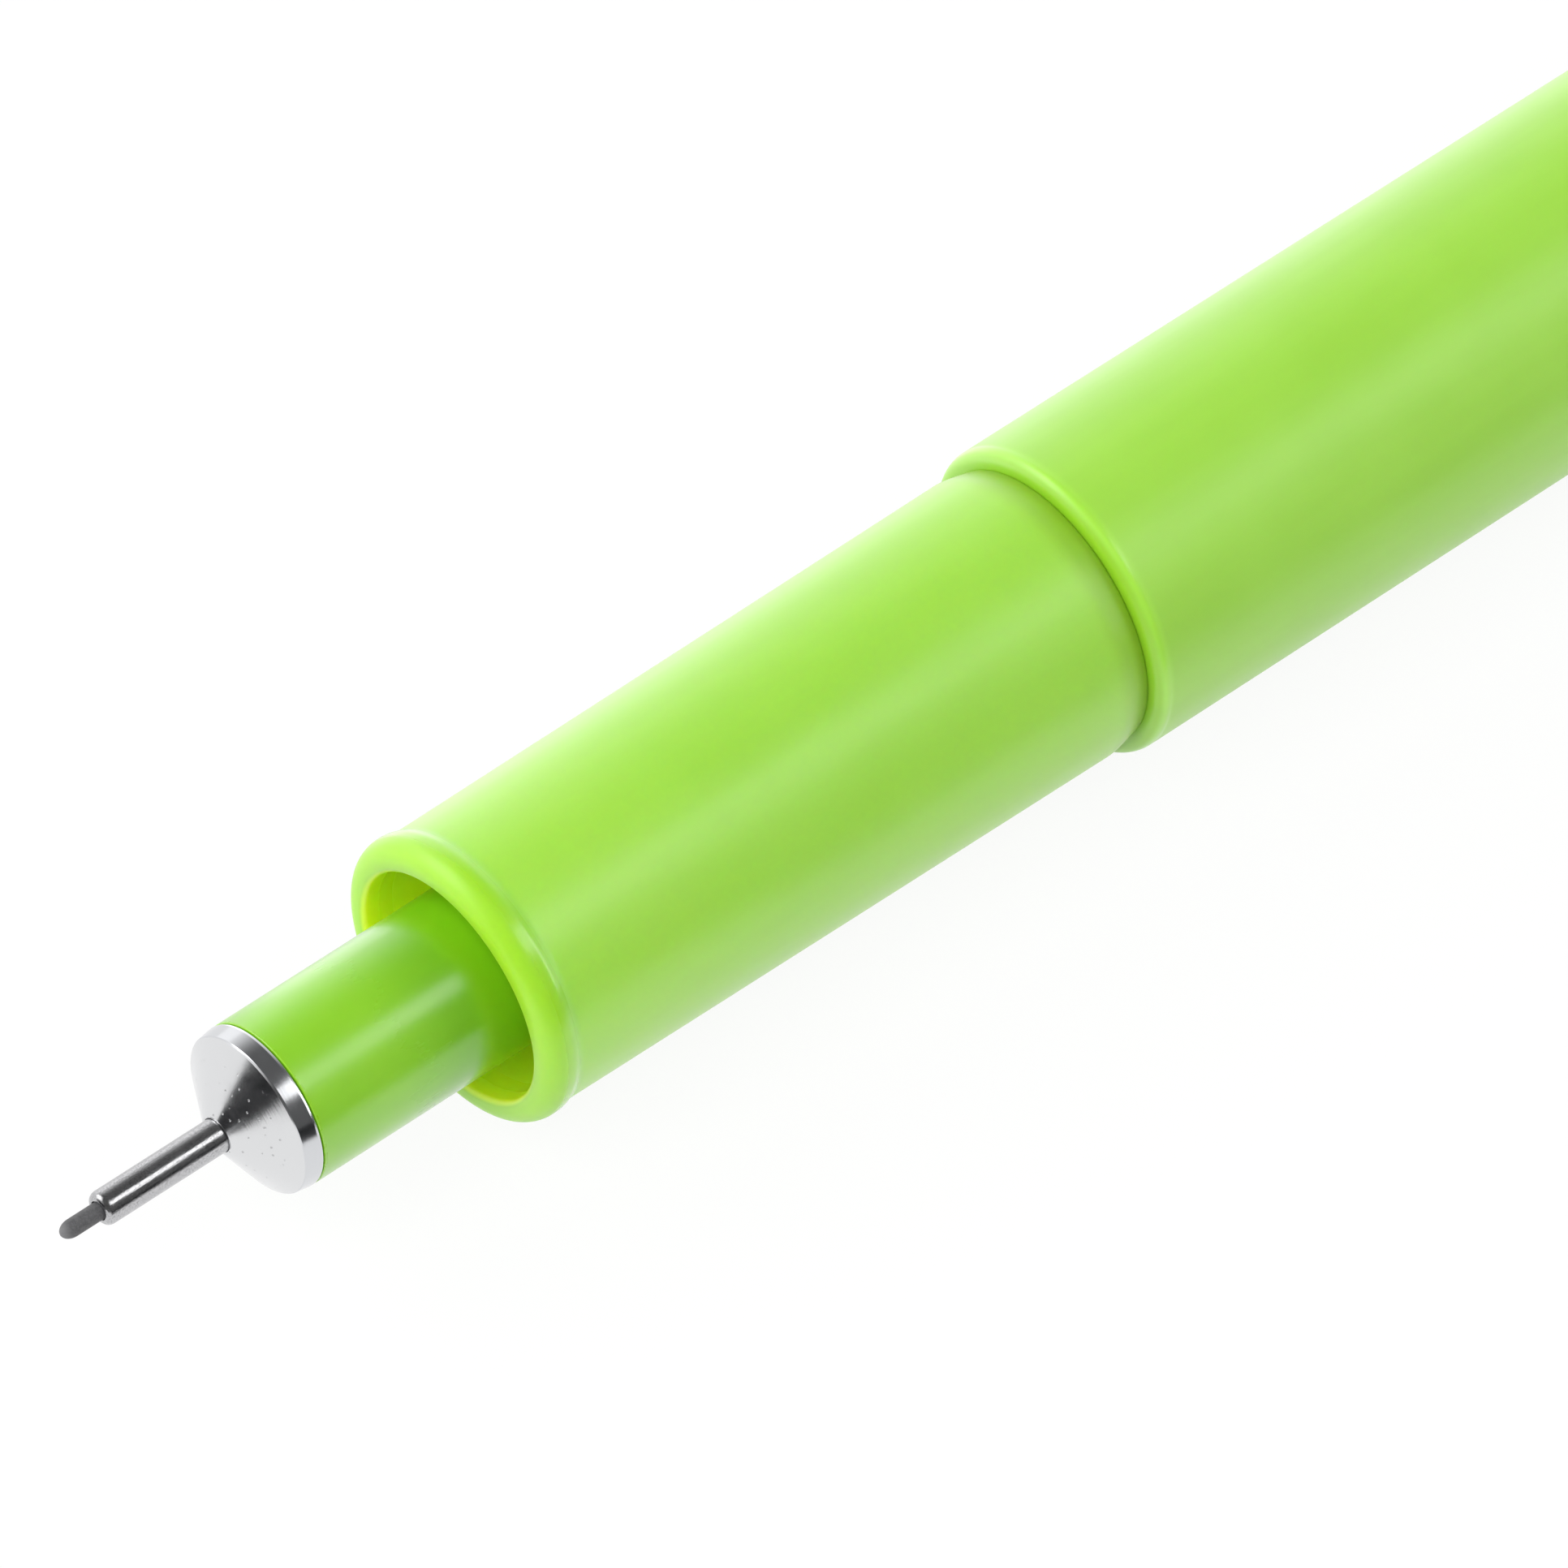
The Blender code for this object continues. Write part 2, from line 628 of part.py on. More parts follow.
def make_cap_clip():
    """The pocket clip: a foot in the shell's slot, a root block, a flat arm and a nub near its free end.

    Its outline is a list of (height, forward) points from the hinge line: height is the radius from the cap's
    axis less the hinge's, and forward is towards the cap's mouth.
    """
    foot = CLIP_FOOT_LENGTH / 2
    top = clip_outer - clip_hinge_radius
    under = clip_under - clip_hinge_radius
    seat = clip_seat - clip_hinge_radius
    foot_end = clip_foot_end - clip_hinge_radius
    nub_centre = CLIP_LENGTH - CLIP_TIP_OVERHANG - CLIP_NUB_RADIUS
    nub_drop = under - (cap_radius + NUB_FIT - clip_hinge_radius)
    end_round = CLIP_THICKNESS / 2
    points = [(foot_end, -foot), (seat, -foot), (seat, -CLIP_ROOT_REAR)]
    points += arc((top - end_round, end_round - CLIP_ROOT_REAR), (end_round, end_round), -90, 0)
    points += arc((top - end_round, CLIP_LENGTH - end_round), (end_round, end_round), 0, 180, 8)
    points += arc((under, nub_centre), (nub_drop, CLIP_NUB_RADIUS), 90, 270, 8)
    points += arc(
        (under - CLIP_FILLET, CLIP_ROOT_FRONT + CLIP_FILLET), (CLIP_FILLET, CLIP_FILLET), 0, -90
    )
    points += [(seat, CLIP_ROOT_FRONT), (seat, foot), (foot_end, foot)]

    shape = bmesh.new()
    face = shape.faces.new([shape.verts.new((height, -0.5, -forward)) for height, forward in points])
    swept = bmesh.ops.extrude_face_region(shape, geom=[face])
    far_side = [item for item in swept["geom"] if isinstance(item, bmesh.types.BMVert)]
    bmesh.ops.translate(shape, vec=(0, 1, 0), verts=far_side)
    for corner in shape.verts:
        along = (CLIP_ROOT_REAR - corner.co.z) / (CLIP_ROOT_REAR + CLIP_LENGTH)
        corner.co.y *= CLIP_WIDTH - CLIP_TAPER * along
    bmesh.ops.recalc_face_normals(shape, faces=shape.faces)
    mesh = bpy.data.meshes.new("cap_clip")
    shape.to_mesh(mesh)
    shape.free()
    clip = bpy.data.objects.new("cap_clip", mesh)
    parts.objects.link(clip)
    bevel = clip.modifiers.new("edges", "BEVEL")
    bevel.width = CLIP_EDGE
    bevel.segments = 2
    bevel.limit_method = "ANGLE"
    bevel.angle_limit = math.radians(50)
    apply_modifiers(clip)
    clip.data.materials.append(lime_body)
    clip.parent = clip_hinge


clear_scene()
parts = make_collection("permanent_marker")
cutters = make_collection("cutters")

lime_body = make_material("lime_body", (0.36, 0.74, 0.06), 0.35)
lime_gloss = make_material("lime_gloss", (0.28, 0.62, 0.04), 0.20)
steel = make_material("bright_steel", (0.78, 0.79, 0.80), 0.15, 1.0)
nib_black = make_material("nib_black", (0.10, 0.10, 0.11), 0.55)
natural_plastic = make_material("natural_plastic", (0.85, 0.86, 0.84), 0.45)
white_fibre = make_material("white_fibre", (0.82, 0.82, 0.80), 0.90)
ink_fibre = make_material("ink_fibre", (0.12, 0.12, 0.14), 0.90)
clear_film = make_material("clear_film", (0.80, 0.84, 0.86), 0.25)

pen_axis = make_empty(
    "pen_axis", None, (-overall_length / 2, axis_side, cap_radius), (0, math.pi / 2, 0)
)
cap_axis = make_empty("cap_axis", pen_axis, (0, 0, cap_mouth), (0, 0, clip_dip - math.pi / 2))
clip_hinge = make_empty("clip_hinge", cap_axis, (clip_hinge_radius, 0, clip_hinge_station))

make_nib()
make_needle_tube()
make_tip_cone()
make_nib_sleeve()
make_nose_tube()
make_grip_section()
make_feed_wick()
make_ink_reservoir()
make_reservoir_wrap()
make_barrel_tube()
make_end_plug()
make_cap_shell()
make_cap_inner_seal()
make_cap_crown()
make_cap_clip()
bpy.context.view_layer.update()
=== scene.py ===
# %% [markdown]
# # A fine-point permanent marker, dressed for a product picture
#
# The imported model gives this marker's solids, its joints and its real size. This notebook makes it look
# like the real thing: lime plastic with soft window reflections, a bright turned metal cone, a thin steel
# needle and a dark nib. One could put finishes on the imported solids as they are, but their corners are
# sharp and their rounds have flats. So each visible piece is made again, finer, in the same place. Lengths
# in the outlines are millimetres, because that is how such a small object is drawn.

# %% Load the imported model
import json
import math

import bmesh
import bpy
from mathutils import Matrix, Vector


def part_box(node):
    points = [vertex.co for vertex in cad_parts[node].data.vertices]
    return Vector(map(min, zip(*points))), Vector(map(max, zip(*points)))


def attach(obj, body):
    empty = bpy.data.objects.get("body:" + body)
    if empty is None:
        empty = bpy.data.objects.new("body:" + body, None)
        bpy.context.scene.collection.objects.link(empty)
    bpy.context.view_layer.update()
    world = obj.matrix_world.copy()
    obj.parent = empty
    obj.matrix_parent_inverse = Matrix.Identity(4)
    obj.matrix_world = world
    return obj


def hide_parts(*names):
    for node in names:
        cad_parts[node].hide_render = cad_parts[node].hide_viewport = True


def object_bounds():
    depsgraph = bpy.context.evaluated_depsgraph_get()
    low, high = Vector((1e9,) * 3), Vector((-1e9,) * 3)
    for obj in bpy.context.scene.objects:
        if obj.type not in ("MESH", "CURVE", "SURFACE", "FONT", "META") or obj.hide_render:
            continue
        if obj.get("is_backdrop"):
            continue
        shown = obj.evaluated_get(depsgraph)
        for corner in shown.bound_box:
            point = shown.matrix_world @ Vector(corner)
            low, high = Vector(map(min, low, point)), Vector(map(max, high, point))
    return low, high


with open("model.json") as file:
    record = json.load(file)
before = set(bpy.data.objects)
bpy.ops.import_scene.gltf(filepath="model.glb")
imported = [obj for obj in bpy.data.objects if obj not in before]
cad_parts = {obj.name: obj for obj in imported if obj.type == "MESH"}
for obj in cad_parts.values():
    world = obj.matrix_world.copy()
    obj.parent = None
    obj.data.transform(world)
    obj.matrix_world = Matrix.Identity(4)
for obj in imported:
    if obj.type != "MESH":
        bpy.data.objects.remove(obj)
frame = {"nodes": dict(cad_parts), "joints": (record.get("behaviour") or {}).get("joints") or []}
cad_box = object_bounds()
MM = 0.001
print("nodes:", ", ".join(sorted(frame["nodes"])))
print("size in mm:", [round(x / MM, 2) for x in cad_box[1] - cad_box[0]])

# %% [markdown]
# ## The pen's own ruler
#
# A marker is turned about one line, so nearly every piece can be told by how far behind the nib it lies and
# how far from that line. These numbers could be typed in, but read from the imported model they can't drift
# from it: the barrel's box gives the line and the nib's box gives its start. Giving each piece its origin
# on that line has a second use: the Object texture coordinate then says how far back a point is.

# %% Find the axis
barrel_low, barrel_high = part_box("barrel_tube")
nib_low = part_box("nib")[0]
pen_start = Vector((nib_low.x, (barrel_low.y + barrel_high.y) / 2, (barrel_low.z + barrel_high.z) / 2))
cap_start = Vector((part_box("cap_shell")[0].x, pen_start.y, pen_start.z))
print("nib's point in mm:", [round(x / MM, 3) for x in pen_start])
print("cap's mouth in mm behind it:", round((cap_start.x - pen_start.x) / MM, 3))

# %% [markdown]
# ## The camera
#
# The picture is a long-lens close-up: the far end of the grip looks nearly as wide as the near end. A 400
# mm lens half a metre away gives that. The camera looks down at 48 degrees from the nib's left, a little
# rolled. It could be placed by eye, but a direction, a distance and a point to aim at are easier to set one
# by one.

# %% Set the camera
VIEW_AZIMUTH = -40.959
VIEW_ELEVATION = 48.060
VIEW_ROLL = 0.257
VIEW_DISTANCE = 496.47 * MM
AIM = Vector((-56.068, 0.483, 6.044)) * MM
LENS_MM = 400
SENSOR_MM = 36


def from_angles(azimuth, elevation):
    """Direction from the object to a viewer. Azimuth 0 is in front of it, at -Y, and -90 is at -X."""
    a, e = math.radians(azimuth), math.radians(elevation)
    return Vector((math.sin(a) * math.cos(e), -math.cos(a) * math.cos(e), math.sin(e)))


camera_data = bpy.data.cameras.new("view")
camera_data.lens = LENS_MM
camera_data.sensor_width = SENSOR_MM
camera_data.clip_start = 0.05
camera_data.clip_end = 20
camera = bpy.data.objects.new("view", camera_data)
bpy.context.scene.collection.objects.link(camera)
back = from_angles(VIEW_AZIMUTH, VIEW_ELEVATION)
camera.rotation_mode = "QUATERNION"
level_view = (-back).to_track_quat("-Z", "Y").to_matrix()
camera.rotation_quaternion = (level_view @ Matrix.Rotation(math.radians(VIEW_ROLL), 3, "Z")).to_quaternion()
camera.location = AIM + back * VIEW_DISTANCE
bpy.context.scene.camera = camera
bpy.context.scene.view_settings.view_transform = "Standard"
print("camera in mm:", [round(x / MM, 1) for x in camera.location])

# %% [markdown]
# ## Writing shader maths as sums
#
# A material is a net of nodes. It could be wired by hand in the Shader Editor, or in code node by node, but
# both are hard to read again. Wire wraps one socket so that plain Python sums add the Math nodes for us:
# both 1 - mask and height * 0.5 work. Every other node comes from NodeTree.node, and Finish gives short
# names to the few kinds that this marker needs.

# %% A socket that can be added and multiplied
class Wire:
    """An output socket. A sum with it adds a Math node to the same material."""

    def __init__(self, finish, socket):
        self.finish = finish
        self.socket = socket

    def also(self, output):
        """Another output of the same node."""
        return Wire(self.finish, self.socket.node.outputs[output])

    def math(self, operation, first, second):
        """A Math node on two values, of which at least one is this wire."""
        return self.finish.node("ShaderNodeMath", {"operation": operation}, {0: first, 1: second})

    def __add__(self, other):
        return self.math("ADD", self, other)

    def __radd__(self, other):
        return self.math("ADD", other, self)

    def __sub__(self, other):
        return self.math("SUBTRACT", self, other)

    def __rsub__(self, other):
        return self.math("SUBTRACT", other, self)

    def __mul__(self, other):
        return self.math("MULTIPLY", self, other)

    def __rmul__(self, other):
        return self.math("MULTIPLY", other, self)

    def __pow__(self, other):
        return self.math("POWER", self, other)

    def __rpow__(self, other):
        return self.math("POWER", other, self)


# %% One method for every other node
class NodeTree:
    """A node tree that starts empty."""

    def __init__(self, tree):
        self.tree = tree
        self.tree.nodes.clear()

    def node(self, kind, settings=None, inputs=None, output=0):
        """Adds a node, sets it up, then feeds its sockets by name or number. Returns one output as a Wire."""
        made = self.tree.nodes.new(kind)
        for name, value in (settings or {}).items():
            setattr(made, name, value)
        for key, value in (inputs or {}).items():
            self.feed(made.inputs[key], value)
        return None if output is None else Wire(self, made.outputs[output])

    def feed(self, socket, value):
        """Links a wire to a socket, or sets the socket's own value."""
        if isinstance(value, Wire):
            self.tree.links.new(value.socket, socket)
        elif isinstance(value, (tuple, list)) and len(value) == 3 and socket.type == "RGBA":
            socket.default_value = (*value, 1.0)
        else:
            socket.default_value = value


# %% Short names for the nodes that the finishes use
class Finish(NodeTree):
    """A node tree, and the few kinds of node that this marker's finishes use."""

    def millimetres(self):
        """Object coordinates in millimetres: X is how far behind the object's origin a point is."""
        metres = self.node("ShaderNodeTexCoord", output="Object")
        return self.node("ShaderNodeVectorMath", {"operation": "SCALE"}, {0: metres, "Scale": 1 / MM})

    def parts_of(self, vector):
        """The X, Y and Z of a vector, as three wires."""
        first = self.node("ShaderNodeSeparateXYZ", None, {0: vector})
        return [first.also(index) for index in range(3)]

    def joined(self, x, y, z):
        """A vector from three values or wires."""
        return self.node("ShaderNodeCombineXYZ", None, {0: x, 1: y, 2: z})

    def stretched(self, vector, amounts):
        """A vector with each of its axes multiplied."""
        return self.node("ShaderNodeVectorMath", {"operation": "MULTIPLY"}, {0: vector, 1: amounts})

    def noise(self, vector, scale, detail=2.0, roughness=0.5):
        """Cloudy noise from 0 to 1, with scale features to each unit of the vector."""
        sockets = {"Vector": vector, "Scale": scale, "Detail": detail, "Roughness": roughness}
        return self.node("ShaderNodeTexNoise", None, sockets)

    def step(self, value, start, end, low=0.0, high=1.0):
        """Runs softly from low to high as the value goes from start to end."""
        sockets = {"Value": value, "From Min": start, "From Max": end, "To Min": low, "To Max": high}
        return self.node("ShaderNodeMapRange", {"interpolation_type": "SMOOTHSTEP"}, sockets)

    def blend(self, mask, first, second):
        """The first colour where the mask is 0, and the second where it is 1."""
        settings = {"data_type": "RGBA", "clamp_factor": True}
        factor, colour_a, colour_b, colour_result = 0, 6, 7, 2
        sockets = {factor: mask, colour_a: first, colour_b: second}
        return self.node("ShaderNodeMix", settings, sockets, output=colour_result)

    def band(self, value, edges):
        """1 between the two middle edges, and it fades to 0 at the outer two."""
        return self.step(value, edges[0], edges[1]) * self.step(value, edges[2], edges[3], 1.0, 0.0)

    def specks(self, vector, scale, size, share):
        """Small round spots: a share of the cells of a Voronoi pattern has one, of that size."""
        distance = self.node("ShaderNodeTexVoronoi", None, {"Vector": vector, "Scale": scale})
        lot = self.parts_of(distance.also("Color"))[0]
        chosen = self.step(lot, 1 - share, 1 - share + 0.02)
        return self.step(distance, size, size * 0.5) * chosen

    def bump(self, height, distance):
        """A Bump node: height 1 stands distance metres proud."""
        return self.node("ShaderNodeBump", None, {"Strength": 1.0, "Distance": distance, "Height": height})


def make_finish(name, fixed, fed):
    """A Principled material: fixed values on its sockets, and fed(finish) returns what varies."""
    material = bpy.data.materials.new(name)
    material.use_nodes = True
    finish = Finish(material.node_tree)
    shader = finish.node("ShaderNodeBsdfPrincipled", None, {**fixed, **fed(finish)})
    finish.node("ShaderNodeOutputMaterial", None, {"Surface": shader}, output=None)
    print(f"finish {name}: {len(finish.tree.nodes)} nodes")
    return material


# %% [markdown]
# ## Lime plastic
#
# The grip, barrel and cap are moulded in one satin lime plastic. It is slightly translucent, so light that
# enters a thin edge, such as the grip's lip, comes out again a little yellower. The glow of the recess
# behind the lip is painted light, put into its colour. A mould never gives a perfect surface: the wall
# sinks and swells by a few thousandths of a millimetre, the pigment is a little cloudy along the way the
# plastic flowed, and handling leaves a few pits.
#
# These tones could be painted on an image, but that needs a UV map and shows its pixels this close. Noise
# and the distance along the pen say the same at any size. Subsurface scattering carries the light through
# the plastic. A coat with its own roughness adds a second, slightly tighter gloss, because satin plastic
# shows a highlight with a clear middle and a wide soft skirt, which one gloss alone can't give.

# %% The lime tones
LIME = (0.345, 0.685, 0.056)
LIME_DEEP = (0.330, 0.662, 0.049)
# painted light: a paler lime that brightens the sleeve behind the lip's bead and the barrel behind its rim
LIME_PAINTED_LIGHT = (0.392, 0.765, 0.062)
# painted shade: a deeper lime that darkens the lip's bead, whose face the lamps light strongly, and the cap's
# mouth
LIME_PAINTED_SHADE = (0.315, 0.610, 0.012)
# painted shade: a darker lime in the joint, where the grip runs into the barrel and on the barrel's rim
LIME_PAINTED_JOINT_SHADE = (0.265, 0.540, 0.012)
# painted light: a brighter green line in the groove before the barrel, for light bounced between its walls
GROOVE_PAINTED_LIGHT = (0.310, 0.800, 0.010)
BARREL_LIME = (0.330, 0.668, 0.052)
BARREL_DEEP = (0.312, 0.640, 0.044)
# painted light: the recess's yellow-green glow, for the light that its walls throw at each other
RECESS_PAINTED_GLOW = (0.715, 0.995, 0.022)
NOSE_LIME = (0.262, 0.600, 0.020)
NOSE_DEEP = (0.246, 0.575, 0.016)
# painted shade: the nose darkens towards the recess, where the lip keeps light off it
NOSE_PAINTED_SHADE = (0.165, 0.450, 0.006)
PIT_TONE = (0.62, 0.80, 0.30)
print("lime as linear red, green and blue:", LIME)


def distance_from_axis(across, up):
    """How far from the pen's own line a point is."""
    return (across * across + up * up) ** 0.5


# %% Moulded lime plastic
def lime_fed(tones, bands, rough, polish, swell, pitted=1.0):
    """
    What varies on a lime piece. A band is (edges in mm along the pen, tone, amount). Rough is the two places
    in mm and the two values that the roughness runs between. Polish is (edges, how much less rough it is
    between them). Swell is the height of the bump in mm.
    """

    def fed(finish):
        spot = finish.millimetres()
        along = finish.parts_of(spot)[0]
        flow = finish.noise(finish.stretched(spot, (0.12, 0.9, 0.9)), 1.0, 3.0)
        cloud = finish.noise(spot, 0.35, 2.0)
        colour = finish.blend(finish.step(flow * 0.6 + cloud * 0.4, 0.35, 0.65), *tones)
        for edges, tone, amount in bands:
            colour = finish.blend(finish.band(along, edges) * amount, colour, tone)
        pits = finish.specks(spot, 0.55, 0.030, 0.06) * pitted
        colour = finish.blend(pits * 0.4, colour, PIT_TONE)
        wear = finish.noise(finish.stretched(spot, (0.5, 2.0, 2.0)), 0.8, 4.0, 0.6)
        grain = finish.noise(spot, 9.0, 2.0)
        sink = finish.noise(finish.stretched(spot, (0.35, 1.0, 1.0)), 0.45, 1.0)
        polished = finish.band(along, polish[0]) * polish[1]
        return {
            "Base Color": colour,
            "Roughness": finish.step(along, *rough) + (wear - 0.5) * 0.12 - polished,
            "Normal": finish.bump(sink + grain * 0.05 - pits * 0.12, swell * MM),
        }

    return fed


# %% What all the soft plastic shares
SOFT_PLASTIC = {
    "Subsurface Weight": 0.40,
    "Subsurface Radius": (0.55, 1.0, 0.15),
    "Subsurface Scale": 0.9 * MM,
    "IOR": 1.60,
    "Coat Weight": 0.65,
    "Coat Roughness": 0.40,
    "Coat IOR": 1.60,
}
GRIP_PLASTIC = {
    **SOFT_PLASTIC,
    "Subsurface Weight": 0.80,
    "Subsurface Radius": (1.0, 1.4, 0.14),
    "Subsurface Scale": 1.5 * MM,
    "Coat Roughness": 0.38,
}
spread = [GRIP_PLASTIC["Subsurface Scale"] / MM * radius for radius in GRIP_PLASTIC["Subsurface Radius"]]
print("red, green and blue light spread in the grip, in mm:", [round(x, 2) for x in spread])

# %% [markdown]
# ## The grip's own lime
#
# The grip is moulded in the barrel's plastic, but light also enters its wall at the open front end, so it
# looks more translucent. Light and shade are also painted into its tone along it: the bead of the lip gets
# a deeper painted shade, the sleeve right behind it a paler painted light, and painted shade darkens it
# where it runs into the barrel, up to one painted line of brighter green in the groove. Each of these could
# be a material of its own with a border between them. Bands along the axis that fade into each other look
# more like one moulding. Inside the lip the distance from the axis picks out the recess, which gets a
# painted yellow-green glow for the light that its walls throw at each other.

# %% Grip plastic
LIP_BEAD = (13.6, 14.0, 14.7, 15.1)
BEHIND_LIP = (15.0, 15.3, 18.0, 22.5)
INTO_BARREL = (35.3, 36.0, 36.8, 37.0)
GROOVE = (36.38, 36.52, 36.8, 37.0)
BEAD_REAR = (14.5, 14.75, 15.1, 15.2)
BEAD_FRONT = (13.6, 14.0, 14.55, 14.80)
AT_BARREL = (35.6, 36.3)
RECESS_RADII = (3.86, 3.72)
lip_fed = lime_fed(
    tones=(LIME, LIME_DEEP),
    bands=[
        # painted shade on the lip's bead
        (LIP_BEAD, LIME_PAINTED_SHADE, 0.8),
        # painted light just behind the lip
        (BEHIND_LIP, LIME_PAINTED_LIGHT, 0.35),
        # painted shade where the grip runs into the barrel
        (INTO_BARREL, LIME_PAINTED_JOINT_SHADE, 0.8),
        # painted light: one brighter line in the groove
        (GROOVE, GROOVE_PAINTED_LIGHT, 0.35),
    ],
    rough=(15.0, 36.0, 0.43, 0.50),
    polish=(BEAD_REAR, 0.22),
    swell=0.016,
)


def grip_fed(finish):
    """The lip's lime, with a painted glow in the recess, and a weaker coat on the bead and at the barrel."""
    made = lip_fed(finish)
    along, across, up = finish.parts_of(finish.millimetres())
    # the recess, picked out by its distance from the axis, gets the painted glow
    inside = finish.step(distance_from_axis(across, up), *RECESS_RADII)
    made["Base Color"] = finish.blend(inside, made["Base Color"], RECESS_PAINTED_GLOW)
    weaker = finish.band(along, BEAD_FRONT) * 0.35 + finish.step(along, *AT_BARREL) * 0.35
    made["Coat Weight"] = 0.72 - weaker
    return made


lime_grip = make_finish("lime_grip", GRIP_PLASTIC, grip_fed)

# %% Barrel and cap plastic
BARREL_RIM = (36.4, 36.5, 36.66, 36.80)
BEHIND_RIM = (36.75, 36.85, 37.0, 37.2)
RIM_SHINE = (36.7, 36.85, 37.0, 37.1)
barrel_fed = lime_fed(
    tones=(BARREL_LIME, BARREL_DEEP),
    # painted shade on the barrel's rim beside the grip, and painted light on the band behind the rim
    bands=[(BARREL_RIM, LIME_PAINTED_JOINT_SHADE, 0.9), (BEHIND_RIM, LIME_PAINTED_LIGHT, 0.4)],
    rough=(36.0, 60.0, 0.50, 0.50),
    polish=(RIM_SHINE, 0.20),
    swell=0.016,
)
lime_plastic = make_finish("lime_plastic", SOFT_PLASTIC, barrel_fed)

CAP_MOUTH = (-0.5, -0.1, 0.25, 0.7)
MOUTH_SHINE = (-0.2, 0.0, 0.4, 0.8)
cap_fed = lime_fed(
    tones=(LIME, LIME_DEEP),
    # painted shade on the cap's mouth, at half strength
    bands=[(CAP_MOUTH, LIME_PAINTED_SHADE, 0.5)],
    rough=(0.0, 40.0, 0.46, 0.46),
    polish=(MOUTH_SHINE, 0.10),
    swell=0.014,
)
lime_cap = make_finish("lime_cap", SOFT_PLASTIC, cap_fed)

# %% [markdown]
# ## The finishes of the writing end
#
# The nose is a darker lime, and it is more polished, most of all near the recess, where the cap's inner seal
# rubs it. Towards the recess painted shade darkens it further. The cone and its rim are turned metal:
# bright, with rings too fine to see that still soften what they reflect. The needle is drawn tube, with
# scratches along it. The nib is dark plastic with ink dried on it.
#
# The shader's Anisotropic socket could stretch the metal's reflections instead, but it knows nothing of
# nicks or of where one ring ends. A bump from noise that is squeezed along the tool's path gives rings on
# the cone and scratches on the needle from the same few nodes.

# %% Polished lime
NOSE_IN_RECESS = (9.5, 14.0, 99.0, 100.0)
NOSE_FRONT_EDGE = (7.3, 7.4, 7.5, 7.6)
nose_fed = lime_fed(
    tones=(NOSE_LIME, NOSE_DEEP),
    # painted shade on the nose towards the recess
    bands=[(NOSE_IN_RECESS, NOSE_PAINTED_SHADE, 1.0)],
    rough=(7.5, 13.5, 0.34, 0.24),
    polish=(NOSE_FRONT_EDGE, 0.06),
    swell=0.008,
    pitted=0.0,
)
NOSE_PLASTIC = {**SOFT_PLASTIC, "Coat Weight": 0.72, "Coat Roughness": 0.29}
polished_lime = make_finish("polished_lime", NOSE_PLASTIC, nose_fed)

# %% Turned metal
CONE_METAL = (0.735, 0.740, 0.750)
RIM_METAL = (0.67, 0.68, 0.70)
NICK_METAL = (0.60, 0.60, 0.61)


def turned_fed(finish):
    """What varies on the cone: fine rings from the lathe, small nicks near the needle, and a slight smear."""
    spot = finish.millimetres()
    along, across, up = finish.parts_of(spot)
    radius = distance_from_axis(across, up)
    rings = finish.noise(finish.joined(radius * 26.0, along * 26.0, 0.0), 1.0, 2.0)
    nicks = finish.specks(spot, 6.5, 0.26, 0.26) * finish.step(radius, 2.4, 1.5)
    smear = finish.noise(spot, 1.3, 3.0)
    tone = finish.blend(finish.step(radius, 2.50, 2.54), CONE_METAL, RIM_METAL)
    return {
        "Base Color": finish.blend(nicks * 0.3, tone, NICK_METAL),
        "Roughness": finish.step(smear + rings * 0.3, 0.4, 0.9, 0.15, 0.23),
        "Normal": finish.bump(rings * 0.5 - nicks * 7.0 + smear * 0.6, 0.0030 * MM),
    }


turned_metal = make_finish("turned_metal", {"Metallic": 1.0}, turned_fed)

# %% Drawn steel
STEEL = (0.54, 0.54, 0.55)
STEEL_SPOT = (0.40, 0.40, 0.41)


def drawn_fed(finish):
    """What varies on the needle: scratches along it and a fine grit."""
    spot = finish.millimetres()
    lines = finish.noise(finish.stretched(spot, (1.2, 22.0, 22.0)), 1.0, 3.0)
    grit = finish.noise(finish.stretched(spot, (16.0, 30.0, 30.0)), 1.0, 2.0, 0.7)
    smear = finish.noise(spot, 2.0, 2.0)
    return {
        "Base Color": finish.blend(finish.step(grit, 0.45, 0.65), STEEL, STEEL_SPOT),
        "Roughness": finish.step(smear, 0.3, 0.7, 0.15, 0.22),
        "Normal": finish.bump(lines * 0.7 + grit * 0.8, 0.0036 * MM),
    }


drawn_steel = make_finish("drawn_steel", {"Metallic": 1.0}, drawn_fed)

# %% Nib plastic
NIB_DARK = (0.075, 0.075, 0.078)
NIB_GREY = (0.120, 0.120, 0.124)
NIB_WORN = (0.235, 0.235, 0.240)


def nib_fed(finish):
    """What varies on the nib: dried ink, worn paler where it meets the paper."""
    spot = finish.millimetres()
    along = finish.parts_of(spot)[0]
    grain = finish.noise(spot, 16.0, 4.0, 0.65)
    worn = finish.step(along + grain * 0.3, 0.15, 0.45, 1.0, 0.0)
    colour = finish.blend(finish.step(grain, 0.35, 0.7), NIB_DARK, NIB_GREY)
    return {
        "Base Color": finish.blend(worn * 0.45, colour, NIB_WORN),
        "Roughness": finish.step(grain, 0.3, 0.7, 0.42, 0.62),
        "Normal": finish.bump(grain, 0.010 * MM),
    }


nib_plastic = make_finish("nib_plastic", {"IOR": 1.5}, nib_fed)

